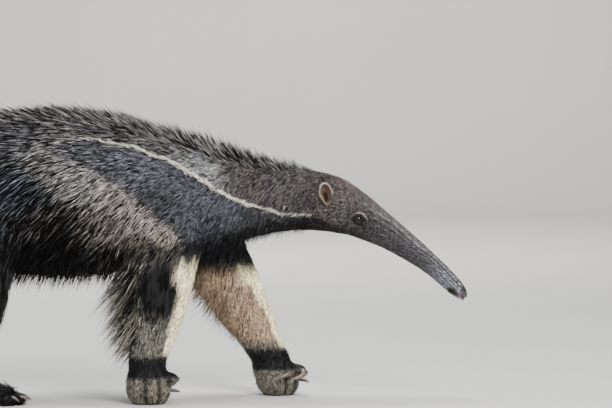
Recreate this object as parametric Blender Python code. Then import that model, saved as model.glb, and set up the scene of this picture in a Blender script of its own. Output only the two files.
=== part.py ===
"""A life-size giant anteater, walking with its head lowered.

The animal faces +X with its left side at +Y and stands on Z = 0. Lengths are in metres.
Every table gives x forward of a point below the withers, and the finished solids are
moved by ORIGIN_SHIFT so that the origin lies below the middle of the whole animal.
"""

import math
import random

import bmesh
import bpy
from mathutils import Matrix, Vector
from mathutils.bvhtree import BVHTree

ORIGIN_SHIFT = 0.470
GAP = 0.0003
FAR = 3.0

BODY_SIDES = 20
LEG_SIDES = 12
CLAW_SIDES = 5

# Trunk, neck and head out to the tips of the hair: x, z of the middle, half height and half
# width, then the depth of the coat at the side and of the mane that stands above the outline.
SPINE = {
    "rump end": (-0.612, 0.428, 0.040, 0.036, 0.010, 0.020),
    "rump": (-0.575, 0.418, 0.092, 0.078, 0.012, 0.020),
    "hips": (-0.500, 0.404, 0.132, 0.112, 0.013, 0.018),
    "loin": (-0.400, 0.395, 0.153, 0.126, 0.013, 0.018),
    "belly": (-0.295, 0.393, 0.154, 0.130, 0.013, 0.018),
    "last rib": (-0.205, 0.388, 0.145, 0.122, 0.013, 0.020),
    "shoulder blade": (-0.125, 0.382, 0.124, 0.110, 0.013, 0.022),
    "withers": (-0.055, 0.380, 0.105, 0.094, 0.012, 0.024),
    "neck base": (0.015, 0.383, 0.085, 0.074, 0.011, 0.022),
    "neck": (0.070, 0.385, 0.069, 0.061, 0.009, 0.017),
    "nape": (0.120, 0.386, 0.062, 0.054, 0.006, 0.010),
    "occiput": (0.165, 0.383, 0.057, 0.050, 0.003, 0.005),
    "ear": (0.195, 0.377, 0.053, 0.047, 0.000, 0.003),
    "cheek": (0.221, 0.367, 0.048, 0.043, 0.000, 0.002),
    "eye": (0.245, 0.356, 0.042, 0.038, 0.000, 0.002),
    "brow": (0.274, 0.339, 0.0355, 0.031, 0.000, 0.001),
    "upper snout": (0.306, 0.3195, 0.0295, 0.0265, 0.000, 0.001),
    "middle snout": (0.345, 0.2925, 0.0240, 0.0225, 0.000, 0.001),
    "lower snout": (0.386, 0.2610, 0.0192, 0.0190, 0.000, 0.001),
    "lips": (0.420, 0.2300, 0.0170, 0.0165, 0.000, 0.001),
    "nose": (0.437, 0.2130, 0.0150, 0.0150, 0.000, 0.001),
    "nose tip": (0.451, 0.2000, 0.0075, 0.0085, 0.000, 0.000),
}
BACK_NARROWING = 0.28

# Limbs from the trunk down to the floor: x, y, z, half depth, half width.
FORELEG_RIGHT = (
    (-0.115, -0.046, 0.400, 0.070, 0.044),
    (-0.122, -0.066, 0.330, 0.078, 0.046),
    (-0.130, -0.080, 0.265, 0.070, 0.044),
    (-0.136, -0.086, 0.200, 0.061, 0.041),
    (-0.146, -0.088, 0.135, 0.047, 0.036),
    (-0.156, -0.088, 0.085, 0.037, 0.033),
    (-0.155, -0.088, 0.048, 0.041, 0.038),
    (-0.153, -0.088, 0.015, 0.043, 0.040),
    (-0.153, -0.088, -0.012, 0.036, 0.033),
)
FORELEG_LEFT = (
    (-0.090, 0.046, 0.400, 0.070, 0.044),
    (-0.060, 0.066, 0.330, 0.074, 0.046),
    (-0.028, 0.080, 0.265, 0.066, 0.044),
    (0.008, 0.086, 0.200, 0.057, 0.040),
    (0.045, 0.088, 0.135, 0.045, 0.036),
    (0.070, 0.088, 0.085, 0.037, 0.033),
    (0.084, 0.088, 0.048, 0.041, 0.038),
    (0.092, 0.088, 0.015, 0.043, 0.040),
    (0.092, 0.088, -0.012, 0.036, 0.033),
)
HINDLEG_RIGHT = (
    (-0.480, -0.052, 0.410, 0.090, 0.050),
    (-0.488, -0.074, 0.340, 0.096, 0.056),
    (-0.485, -0.088, 0.270, 0.080, 0.050),
    (-0.480, -0.094, 0.200, 0.058, 0.042),
    (-0.488, -0.096, 0.140, 0.045, 0.036),
    (-0.502, -0.096, 0.085, 0.036, 0.031),
    (-0.508, -0.096, 0.045, 0.037, 0.031),
    (-0.508, -0.096, 0.018, 0.036, 0.031),
)
HINDLEG_LEFT = (
    (-0.485, 0.052, 0.410, 0.090, 0.050),
    (-0.504, 0.074, 0.340, 0.094, 0.056),
    (-0.520, 0.088, 0.270, 0.078, 0.050),
    (-0.540, 0.094, 0.200, 0.057, 0.042),
    (-0.566, 0.096, 0.140, 0.045, 0.036),
    (-0.592, 0.096, 0.085, 0.036, 0.031),
    (-0.600, 0.096, 0.045, 0.037, 0.031),
    (-0.600, 0.096, 0.018, 0.036, 0.031),
)
# A hind sole from heel to toes: distance forward of the ankle, z, half height, half width.
SOLE = (
    (-0.046, 0.020, 0.014, 0.016),
    (-0.030, 0.022, 0.028, 0.028),
    (0.010, 0.026, 0.034, 0.032),
    (0.050, 0.019, 0.029, 0.037),
    (0.078, 0.014, 0.024, 0.040),
    (0.092, 0.012, 0.014, 0.028),
)
LEG_COAT = 0.008
CORE_SHARE = 0.35
MANE_SHARE = 0.15

# Tail under its hair: x, z of the middle, half depth and half width.
TAIL = (
    (-0.540, 0.432, 0.040, 0.034),
    (-0.620, 0.432, 0.058, 0.046),
    (-0.700, 0.424, 0.056, 0.044),
    (-0.800, 0.400, 0.048, 0.038),
    (-0.920, 0.362, 0.038, 0.031),
    (-1.040, 0.318, 0.027, 0.023),
    (-1.140, 0.278, 0.016, 0.014),
    (-1.200, 0.252, 0.006, 0.006),
)
# Tail locks by the angle up from the side where they leave: length, width, how far they
# stand out at first, and how fast they bend down.
TAIL_LOCKS = (
    (78.0, 0.170, 0.074, 0.35, 0.34),
    (30.0, 0.260, 0.078, 0.45, 0.85),
    (-25.0, 0.345, 0.080, 0.40, 1.25),
    (-72.0, 0.375, 0.074, 0.60, 1.15),
)
TAIL_STEP = 0.108
TAIL_LOCK_THICKNESS = 0.015
TAIL_CLEARANCE = 0.050
TAIL_BRUSH = 5
BRUSH_LENGTH = 0.27

# Mane: spacing, lean at its front and back, length at the nape, withers and loin.
MANE_STEP = 0.047
MANE_SPREAD = 0.016
MANE = {
    "front": (0.132, 0.030, 62.0),
    "neck": (0.060, 0.052, 52.0),
    "withers": (-0.060, 0.066, 38.0),
    "back": (-0.240, 0.075, 20.0),
    "loin": (-0.460, 0.080, 12.0),
}
MANE_WIDTH = 0.044
MANE_THICKNESS = 0.010
ROOT_DEPTH = 0.009
# Rows of trunk locks: x, locks on each side, length, width and how high the tips lie.
TRUNK_ROWS = (
    (0.108, 3, 0.085, 0.056, 0.003),
    (0.035, 3, 0.110, 0.068, 0.005),
    (-0.045, 3, 0.130, 0.080, 0.008),
    (-0.125, 4, 0.126, 0.080, 0.009),
    (-0.210, 4, 0.128, 0.086, 0.009),
    (-0.295, 4, 0.128, 0.088, 0.009),
    (-0.380, 4, 0.128, 0.088, 0.009),
    (-0.465, 4, 0.122, 0.084, 0.008),
    (-0.545, 3, 0.100, 0.074, 0.006),
)
# Rows of leg locks: height, locks round the leg, length and width.
FORELEG_ROWS = (
    (0.222, 5, 0.086, 0.058),
    (0.160, 5, 0.078, 0.050),
)
HINDLEG_ROWS = (
    (0.222, 5, 0.086, 0.060),
    (0.158, 4, 0.076, 0.054),
)
# Fringes under the trunk: x, distance from the middle, length.
FRINGES = (
    (0.060, 0.022, 0.075),
    (-0.225, 0.050, 0.105),
    (-0.300, 0.062, 0.105),
    (-0.375, 0.050, 0.100),
)
SEED = 16

# Planes that part the animal: a point on each and how far each leans back, in degrees.
HEAD_CUT = ((0.160, 0.383), -8.0)
NECK_CUT = ((0.022, 0.383), -20.0)
TAIL_CUT = ((-0.606, 0.428), 0.0)
LEG_TOP = 0.234
WRIST = 0.082
ANKLE = 0.072
FORE_ZONES = {
    "right": (-0.275, -0.050),
    "left": (-0.130, 0.180),
}
HIND_ZONES = {
    "right": (-0.590, -0.375),
    "left": (-0.665, -0.400),
}

EYE_PLACE = (0.247, 0.349)
EYE_RADIUS = 0.0100
EYE_SINK = 0.0065
EYE_SLANT = 28.0
LID_RADIUS = 0.0100
LID_OPENING = 0.78
LID_THICKNESS = 0.0030
LID_SINK = 0.0010
EAR_PLACE = (0.1835, 0.396)
EAR_HEIGHT = 0.044
EAR_WIDTH = 0.026
EAR_DEPTH = 0.0110
EAR_RIM = 0.0022
EAR_STAND = 0.0035
EAR_TURN = 18.0
EAR_SPREAD = 12.0
EAR_LEAN = -8.0
NOSTRIL_PLACE = (0.4490, 0.0072, 0.2075)
NOSTRIL_RADII = (0.0045, 0.0036, 0.0026)
NOSTRIL_LEAN = 48.0
MOUTH_PLACE = (0.4400, 0.2000)
MOUTH_LENGTH = 0.040
MOUTH_GAP = 0.0012
MOUTH_LEAN = 40.0
LIPS = ((0.0036, 0.0046, 0.0150), (-0.0036, 0.0044, 0.0132))
LIP_WIDTH = 0.0142

# Foreclaws: start ahead of the foot's middle, inwards and up, heading inwards, bend radius,
# bend, thickness. Each leaves a knuckle and curls inwards and back beside the foot.
FORECLAWS = {
    "large": (0.042, 0.006, 0.047, 40.0, 0.0245, 150.0, 0.0088),
    "middle": (0.022, 0.030, 0.046, 75.0, 0.0190, 135.0, 0.0068),
    "small": (0.042, -0.018, 0.028, -5.0, 0.0150, 110.0, 0.0048),
}
FORECLAW_ROLL = 74.0
KNUCKLE_GIRTH = 1.55
HINDCLAWS = 5
HINDCLAW_RADIUS = 0.020
HINDCLAW_BEND = 55.0
HINDCLAW_THICKNESS = 0.0046
TOE_RADII = (0.0185, 0.0092, 0.0125)
TOES_AHEAD = 0.104
TOES_BACK = 0.020
TOES_SPREAD = 0.031

# Colour, roughness and the nodes each material is for, by the start of their names.
MATERIALS = {
    "dark coat": ((0.045, 0.038, 0.034), 0.85, ("torso", "tail", "hind")),
    "grizzled coat": ((0.115, 0.095, 0.080), 0.85, ("neck",)),
    "pale coat": ((0.330, 0.280, 0.220), 0.85, ("fore",)),
    "snout": ((0.075, 0.068, 0.066), 0.70, ("head", "ear")),
    "horn": ((0.060, 0.050, 0.045), 0.45, ("claw",)),
    "eye": ((0.010, 0.008, 0.007), 0.08, ("eye",)),
}


def clear_scene():
    for thing in list(bpy.data.objects):
        bpy.data.objects.remove(thing)


def make_material(name, colour, roughness):
    material = bpy.data.materials.new(name)
    material.use_nodes = True
    shader = material.node_tree.nodes["Principled BSDF"]
    shader.inputs["Base Color"].default_value = (*colour, 1.0)
    shader.inputs["Roughness"].default_value = roughness
    material.diffuse_color = (*colour, 1.0)
    return material


def object_of(name, shape, collection):
    """A new object from a bmesh, which is freed."""
    mesh = bpy.data.meshes.new(name)
    shape.to_mesh(mesh)
    shape.free()
    thing = bpy.data.objects.new(name, mesh)
    collection.objects.link(thing)
    return thing


def smooth_row(rows, between):
    """Rows of numbers with more rows between them, on a Catmull-Rom curve."""
    full = []
    last = len(rows) - 1
    for i in range(last):
        before, start = rows[max(i - 1, 0)], rows[i]
        end, after = rows[i + 1], rows[min(i + 2, last)]
        for k in range(between + 1):
            t = k / (between + 1)
            full.append(tuple(
                0.5 * (2 * b + (c - a) * t + (2 * a - 5 * b + 4 * c - d) * t**2
                       + (3 * b - a - 3 * c + d) * t**3)
                for a, b, c, d in zip(before, start, end, after)
            ))
    full.append(tuple(rows[last]))
    return full


def loft(name, sections, sides, collection, narrowing=0.0, between=1):
    """A closed form through elliptical sections square to their path.

    A section is x, y, z, half depth above the path, half depth below it, half width.
    """
    sections = smooth_row(sections, between)
    shape = bmesh.new()
    rings = []
    last = len(sections) - 1
    for i, (x, y, z, above, below, wide) in enumerate(sections):
        start, end = sections[max(i - 1, 0)], sections[min(i + 1, last)]
        ahead = Vector((end[0] - start[0], 0.0, end[2] - start[2])).normalized()
        up = Vector((-ahead.z, 0.0, ahead.x))
        ring = []
        for k in range(sides):
            angle = math.tau * k / sides
            across, rise = math.cos(angle), math.sin(angle)
            depth = above if rise > 0 else below
            half = wide * (1 - narrowing * max(rise, 0.0) ** 2)
            place = Vector((x, y, z)) + up * (depth * rise) + Vector((0, half * across, 0))
            ring.append(shape.verts.new(place))
        rings.append(ring)
    for ring, following in zip(rings, rings[1:]):
        for k in range(sides):
            n = (k + 1) % sides
            shape.faces.new((ring[k], ring[n], following[n], following[k]))
    shape.faces.new(rings[0][::-1])
    shape.faces.new(rings[-1])
    bmesh.ops.recalc_face_normals(shape, faces=shape.faces)
    return object_of(name, shape, collection)


def apply_modifiers(thing):
    """The object's mesh as its modifiers leave it."""
    graph = bpy.context.evaluated_depsgraph_get()
    mesh = bpy.data.meshes.new_from_object(thing.evaluated_get(graph))
    thing.modifiers.clear()
    thing.data = mesh


def boolean(thing, operation, other=None, group=None, solver="MANIFOLD"):
    cut = thing.modifiers.new("Boolean", "BOOLEAN")
    cut.operation = operation
    cut.solver = solver
    if group:
        cut.operand_type = "COLLECTION"
        cut.collection = group
    else:
        cut.object = other
    apply_modifiers(thing)


def keep_largest(thing):
    """Drops everything but the largest closed surface of a mesh."""
    shape = bmesh.new()
    shape.from_mesh(thing.data)
    left = set(shape.verts)
    surfaces = []
    while left:
        found = {left.pop()}
        edge = list(found)
        while edge:
            near = {e.other_vert(v) for v in edge for e in v.link_edges} - found
            found |= near
            edge = list(near)
        left -= found
        low = Vector(min(v.co[i] for v in found) for i in range(3))
        high = Vector(max(v.co[i] for v in found) for i in range(3))
        surfaces.append(((high - low).length, list(found)))
    surfaces.sort(key=lambda pair: pair[0])
    for _, scrap in surfaces[:-1]:
        bmesh.ops.delete(shape, geom=scrap, context="VERTS")
    shape.to_mesh(thing.data)
    shape.free()


def copy_of(thing, name, collection):
    twin = bpy.data.objects.new(name, thing.data.copy())
    collection.objects.link(twin)
    return twin


def grown(thing, by, collection):
    """A copy of a solid with its surface moved outwards, for cutting its neighbours."""
    twin = copy_of(thing, thing.name + " grown", collection)
    swell = twin.modifiers.new("Displace", "DISPLACE")
    swell.strength = by
    swell.mid_level = 0.0
    apply_modifiers(twin)
    return twin


def block(name, low, high, collection):
    """A box between two corners."""
    shape = bmesh.new()
    bmesh.ops.create_cube(shape, size=1.0)
    size = Vector(high) - Vector(low)
    bmesh.ops.scale(shape, vec=size, verts=shape.verts)
    bmesh.ops.translate(shape, vec=(Vector(high) + Vector(low)) / 2, verts=shape.verts)
    return object_of(name, shape, collection)


def half_space(name, cut, side, collection):
    """A large block on one side (+1 ahead, -1 behind) of a plane that leans back."""
    (x, z), lean = cut
    shape = bmesh.new()
    bmesh.ops.create_cube(shape, size=FAR)
    bmesh.ops.translate(shape, vec=(side * (FAR + GAP) / 2, 0, 0), verts=shape.verts)
    turn = Matrix.Rotation(math.radians(lean), 4, "Y")
    bmesh.ops.transform(shape, matrix=Matrix.Translation((x, 0, z)) @ turn, verts=shape.verts)
    return object_of(name, shape, collection)


def spine_sections():
    """Sections of the flesh: the outline without most of the coat."""
    sections = []
    for x, z, half_height, half_width, side_coat, mane in SPINE.values():
        hidden = side_coat * (1 - CORE_SHARE)
        sections.append((x, 0.0, z, half_height + mane * MANE_SHARE - hidden,
                         half_height - hidden, half_width - hidden))
    return sections


def limb_sections(limb):
    return [(x, y, z, deep + LEG_COAT * CORE_SHARE, deep + LEG_COAT * CORE_SHARE, wide)
            for x, y, z, deep, wide in limb]


def sole_sections(limb):
    ankle = limb[-1]
    return [(ankle[0] + x, ankle[1], z, high, high, wide) for x, z, high, wide in SOLE]


def lock(name, path, sides, tops, width, thickness, collection):
    """A flat tapered lock along a path, with a ridge along its upper face.

    sides are directions across it and tops directions out of its upper face, at each point.
    """
    shape = bmesh.new()
    last = len(path) - 1
    rings = []
    for i in range(last):
        t = i / last
        half = width / 2 * (0.62 + 1.30 * t - 1.55 * t * t)
        ridge = thickness * (1 - 0.45 * t)
        middle = path[i]
        rings.append([shape.verts.new(middle - sides[i] * half),
                      shape.verts.new(middle + tops[i] * ridge),
                      shape.verts.new(middle + sides[i] * half)])
    tip = shape.verts.new(path[last])
    for ring, following in zip(rings, rings[1:]):
        for k in range(3):
            n = (k + 1) % 3
            shape.faces.new((ring[k], ring[n], following[n]))
            shape.faces.new((ring[k], following[n], following[k]))
    for k in range(3):
        shape.faces.new((rings[-1][k], rings[-1][(k + 1) % 3], tip))
    shape.faces.new(rings[0][::-1])
    bmesh.ops.recalc_face_normals(shape, faces=shape.faces)
    return object_of(name, shape, collection)


def surface_lock(tree, start, lie, length, width, thickness, rise, collection, parts=3):
    """A lock that is rooted in the surface and follows it, its tip at the height rise."""
    place, normal, _, _ = tree.find_nearest(start)
    path, sides, tops = [], [], []
    for i in range(parts + 1):
        t = i / parts
        heading = lie(place, normal)
        heading = (heading - normal * heading.dot(normal)).normalized()
        height = -ROOT_DEPTH + (rise + ROOT_DEPTH) * min(1.0, 1.25 * t) ** 0.7
        path.append(place + normal * height)
        sides.append(normal.cross(heading).normalized())
        tops.append(normal)
        place, normal, _, _ = tree.find_nearest(place + heading * length / parts)
    return lock("lock", path, sides, tops, width, thickness, collection)


def hanging_lock(start, heading, out, length, width, thickness, fall, collection, parts=3):
    """A lock that leaves its root along heading and bends down as it goes."""
    path, sides, tops = [], [], []
    place = start - out * ROOT_DEPTH
    for i in range(parts + 1):
        across = heading.cross(out)
        across = across.normalized() if across.length > 1e-4 else Vector((0, 1, 0))
        path.append(place)
        sides.append(across)
        tops.append(across.cross(heading).normalized())
        place = place + heading * length / parts
        room = place.z - TAIL_CLEARANCE
        pull = fall * max(-1.0, min(1.0, room / (length / parts) - 0.6))
        heading = (heading + Vector((0, 0, -pull))).normalized()
    return lock("lock", path, sides, tops, width, thickness, collection)


def flank_lie(place, normal):
    """The lie of the coat on the trunk: backwards, and down on the lower flanks."""
    low = max(0.0, min(1.0, (0.47 - place.z) / 0.20))
    return Vector((-1.0, 0.0, -0.10 - 0.95 * low))


def leg_lie(place, normal):
    return Vector((-0.22, 0.0, -1.0))


def middle_at(x):
    """z of the middle and half height of the trunk at x."""
    rows = list(SPINE.values())
    for first, second in zip(rows, rows[1:]):
        if first[0] <= x <= second[0]:
            t = (x - first[0]) / (second[0] - first[0])
            return first[1] + (second[1] - first[1]) * t, first[2] + (second[2] - first[2]) * t
    return rows[0][1], rows[0][2]


def add_trunk_locks(tree, locks, draw):
    """Rows of overlapping locks round the trunk and the neck."""
    for row, (x, count, length, width, rise) in enumerate(TRUNK_ROWS):
        z, _ = middle_at(x)
        for sign in (-1, 1):
            for k in range(count):
                turn = math.radians(72 - (k + 0.5 * (row % 2)) * 138 / count + draw.uniform(-4, 4))
                way = Vector((0, sign * math.cos(turn), math.sin(turn)))
                start = Vector((x + draw.uniform(-0.008, 0.008), 0, z)) + way
                hit = tree.ray_cast(start, -way)[0]
                if hit is None or hit.z < LEG_TOP:
                    continue
                size = draw.uniform(0.9, 1.1)
                surface_lock(tree, hit, flank_lie, length * size, width, 0.010, rise, locks)


def add_leg_locks(tree, locks, draw):
    """Locks that hang down the back and the outer side of each leg."""
    for limb, sign, rows in (
        (FORELEG_RIGHT, -1, FORELEG_ROWS), (FORELEG_LEFT, 1, FORELEG_ROWS),
        (HINDLEG_RIGHT, -1, HINDLEG_ROWS), (HINDLEG_LEFT, 1, HINDLEG_ROWS),
    ):
        for row, (z, count, length, width) in enumerate(rows):
            centre = at_height(limb, z)
            for k in range(count):
                turn = math.radians((k + 0.5 * (row % 2)) * 360 / count + draw.uniform(-8, 8))
                way = Vector((math.cos(turn), math.sin(turn), 0))
                hit = tree.ray_cast(centre, way)[0]
                if hit is None or abs(hit.y) < 0.03 or (hit - centre).length > 0.14:
                    continue
                size = draw.uniform(0.9, 1.1)
                surface_lock(tree, hit, leg_lie, length * size, width, 0.008, 0.006, locks, 2)


def at_height(limb, z):
    """The middle of a limb at a height."""
    for above, below in zip(limb, limb[1:]):
        if below[2] <= z <= above[2]:
            t = (above[2] - z) / (above[2] - below[2])
            return Vector(above[:3]).lerp(Vector(below[:3]), t)
    return Vector(limb[0][:3])


def mane_at(x):
    """Length and stand of the mane at x."""
    rows = list(MANE.values())
    for first, second in zip(rows, rows[1:]):
        if second[0] <= x <= first[0]:
            t = (first[0] - x) / (first[0] - second[0])
            return first[1] + (second[1] - first[1]) * t, first[2] + (second[2] - first[2]) * t
    return rows[-1][1:]


def add_mane(tree, locks, draw):
    """Standing locks along the top of the neck and the back, leaning back."""
    x = MANE["front"][0]
    number = 0
    while x > MANE["loin"][0]:
        for y in ((-MANE_SPREAD, MANE_SPREAD) if number % 2 else (0.0,)):
            hit, normal, _, _ = tree.ray_cast(Vector((x, y, 1)), Vector((0, 0, -1)))
            length, stand = mane_at(x)
            angle = math.radians(stand + draw.uniform(-5, 5))
            heading = Vector((-math.cos(angle), y * 6, math.sin(angle))).normalized()
            back = Vector((-1, y * 4, 0.08)).normalized()
            path = [hit - heading * ROOT_DEPTH * 1.3]
            parts = 3
            reach = length * draw.uniform(0.9, 1.1)
            for i in range(parts):
                path.append(path[-1] + heading * reach / parts)
                heading = heading.lerp(back, 0.22).normalized()
            across = Vector((math.sin(angle), 0, math.cos(angle)))
            out = Vector((0, 1 if y >= 0 else -1, 0))
            lock("lock", path, [across] * (parts + 1), [out] * (parts + 1),
                 MANE_WIDTH, MANE_THICKNESS, locks)
        x -= MANE_STEP
        number += 1


def add_tail_locks(tree, locks, draw):
    """Long coarse locks that hang from the whole length of the tail, and its brush."""
    x = TAIL[1][0] - 0.012
    row = 0
    while x > TAIL[-1][0] + 0.03:
        z, slope = tail_at(x)
        slope = -slope
        along = Vector((-1, 0, -slope)).normalized()
        share = (TAIL[1][0] - x) / (TAIL[1][0] - TAIL[-1][0])
        for number, (turn, length, width, stand, fall) in enumerate(TAIL_LOCKS):
            for sign in (-1, 1):
                angle = math.radians(turn + draw.uniform(-7, 7))
                way = Vector((0, sign * math.cos(angle), math.sin(angle)))
                shift = TAIL_STEP * (0.5 * ((number + (sign > 0)) % 2) + draw.uniform(-0.1, 0.1))
                start = Vector((x - shift, 0, z - slope * shift))
                hit = tree.ray_cast(start + way * 0.3, -way)[0]
                if hit is None:
                    continue
                heading = (along + way * stand).normalized()
                reach = length * (1 - 0.35 * share) * draw.uniform(0.9, 1.08)
                hanging_lock(hit, heading, way, reach, width * (1 - 0.3 * share),
                             TAIL_LOCK_THICKNESS, fall, locks)
        x -= TAIL_STEP
        row += 1
    end = Vector((TAIL[-2][0], 0, TAIL[-2][1]))
    for k in range(TAIL_BRUSH):
        turn = math.tau * (k + 0.5) / TAIL_BRUSH
        way = Vector((0, math.cos(turn), math.sin(turn)))
        heading = (Vector((-1, 0, -0.35)) + way * 0.16).normalized()
        hanging_lock(end + way * 0.010, heading, way, BRUSH_LENGTH * draw.uniform(0.85, 1.05),
                     0.036, 0.010, 0.16, locks)


def tail_at(x):
    """z of the tail's middle and its slope at x."""
    for first, second in zip(TAIL, TAIL[1:]):
        if second[0] <= x <= first[0]:
            slope = (second[1] - first[1]) / (first[0] - second[0])
            return first[1] + slope * (first[0] - x), slope
    return TAIL[-1][1], 0.0


def add_fringes(tree, locks, draw):
    """Locks that hang from the belly, the chest and behind the elbows."""
    for x, y, length in FRINGES:
        for sign in (-1, 1):
            side = sign * y
            hit = tree.ray_cast(Vector((x, side, 0.38)), Vector((0, 0, -1)))[0]
            if hit is None:
                continue
            heading = Vector((-0.75, sign * 0.15, -0.55)).normalized()
            hanging_lock(hit + Vector((0, 0, 0.006)), heading, Vector((0, 0, -1)),
                         length * draw.uniform(0.9, 1.1), 0.050, 0.009, 0.12, locks, 3)


def add_coat(whole, work):
    """Fuses every lock with the flesh."""
    surface = bmesh.new()
    surface.from_mesh(whole.data)
    tree = BVHTree.FromBMesh(surface)
    surface.free()
    locks = bpy.data.collections.new("locks")
    bpy.context.scene.collection.children.link(locks)
    draw = random.Random(SEED)
    add_trunk_locks(tree, locks, draw)
    add_fringes(tree, locks, draw)
    add_leg_locks(tree, locks, draw)
    add_mane(tree, locks, draw)
    add_tail_locks(tree, locks, draw)
    print("locks", len(locks.objects))
    boolean(whole, "UNION", group=locks)
    for piece in list(locks.objects):
        bpy.data.objects.remove(piece)


def build_flesh(work):
    """The whole body as one closed form that stands on flats at Z = 0."""
    pieces = bpy.data.collections.new("flesh pieces")
    bpy.context.scene.collection.children.link(pieces)
    whole = loft("flesh", spine_sections(), BODY_SIDES, work, BACK_NARROWING)
    for limb in (FORELEG_RIGHT, FORELEG_LEFT, HINDLEG_RIGHT, HINDLEG_LEFT):
        loft("limb", limb_sections(limb), LEG_SIDES, pieces)
    for limb in (HINDLEG_RIGHT, HINDLEG_LEFT):
        loft("sole", sole_sections(limb), 10, pieces, between=0)
    for limb, sign in ((HINDLEG_RIGHT, -1), (HINDLEG_LEFT, 1)):
        for i in range(HINDCLAWS):
            ellipsoid("toe", toe_place(limb[-1], i, sign), TOE_RADII, pieces, None, 6, 4)
    for limb, sign in ((FORELEG_RIGHT, -1), (FORELEG_LEFT, 1)):
        for size in FORECLAWS:
            start, heading, thick = foreclaw_start(limb, size, sign)
            radii = Vector((1.9, 1.0, 1.1)) * thick * KNUCKLE_GIRTH
            back = heading.to_3x3() @ Vector((0.010, 0, 0))
            ellipsoid("knuckle", start - back, radii, pieces, heading, 6, 4)
    tail = [(x, 0.0, z, deep, deep, wide) for x, z, deep, wide in TAIL]
    loft("tail", tail, LEG_SIDES, pieces)
    boolean(whole, "UNION", group=pieces, solver="EXACT")
    for piece in list(pieces.objects):
        bpy.data.objects.remove(piece)
    keep_largest(whole)
    add_coat(whole, work)
    boolean(whole, "DIFFERENCE", block("floor", (-FAR, -1, -1), (FAR, 1, 0), work))
    keep_largest(whole)
    return whole


def leg_zones():
    """Name, lowest and highest corner of the space that each part of a leg fills."""
    for side, sign in (("right", -1), ("left", 1)):
        inner, outer = sorted((sign * 0.004, sign * 0.5))
        for leg, zones, joint in (("fore", FORE_ZONES, WRIST), ("hind", HIND_ZONES, ANKLE)):
            back, front = zones[side]
            yield f"{leg}leg_{side}", (back, inner, joint), (front, outer, LEG_TOP)
            yield f"{leg}foot_{side}", (back, inner, -0.1), (front, outer, joint)


def part_flesh(whole, animal, work):
    """Cuts the whole body into named nodes, each GAP clear of the next."""
    nodes = {}
    rest = copy_of(whole, "torso", animal)
    for name, low, high in leg_zones():
        half_gap = Vector((GAP, GAP, GAP)) / 2
        inside = block(name + " zone", Vector(low) + half_gap, Vector(high) - half_gap, work)
        outside = block(name + " space", Vector(low) - half_gap, Vector(high) + half_gap, work)
        nodes[name] = copy_of(whole, name, animal)
        boolean(nodes[name], "INTERSECT", inside)
        boolean(rest, "DIFFERENCE", outside)
    for name, cut, side in (("head", HEAD_CUT, 1), ("neck", NECK_CUT, 1), ("tail", TAIL_CUT, -1)):
        zone = half_space(name + " zone", cut, side, work)
        others = half_space(name + " space", cut, -side, work)
        nodes[name] = copy_of(rest, name, animal)
        boolean(nodes[name], "INTERSECT", zone)
        boolean(rest, "INTERSECT", others)
    boolean(nodes["neck"], "INTERSECT", half_space("behind head", HEAD_CUT, -1, work))
    nodes["torso"] = rest
    for node in nodes.values():
        keep_largest(node)
    return nodes


def add_ellipsoid(shape, centre, radii, turn=None, segments=12, rings=8):
    """An ellipsoid in a bmesh: its centre, its three radii and how it is turned."""
    ball = bmesh.ops.create_uvsphere(shape, u_segments=segments, v_segments=rings, radius=1.0)
    place = Matrix.Translation(centre) @ (turn or Matrix()) @ Matrix.Diagonal((*radii, 1))
    bmesh.ops.transform(shape, matrix=place, verts=ball["verts"])


def ellipsoid(name, centre, radii, collection, turn=None, segments=12, rings=8):
    shape = bmesh.new()
    add_ellipsoid(shape, centre, radii, turn, segments, rings)
    return object_of(name, shape, collection)


def side_surface(tree, x, z, sign):
    """The point and normal where the animal's side is met at x and z."""
    place, normal, _, _ = tree.ray_cast(Vector((x, sign, z)), Vector((0, -sign, 0)))
    return place, normal


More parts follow.
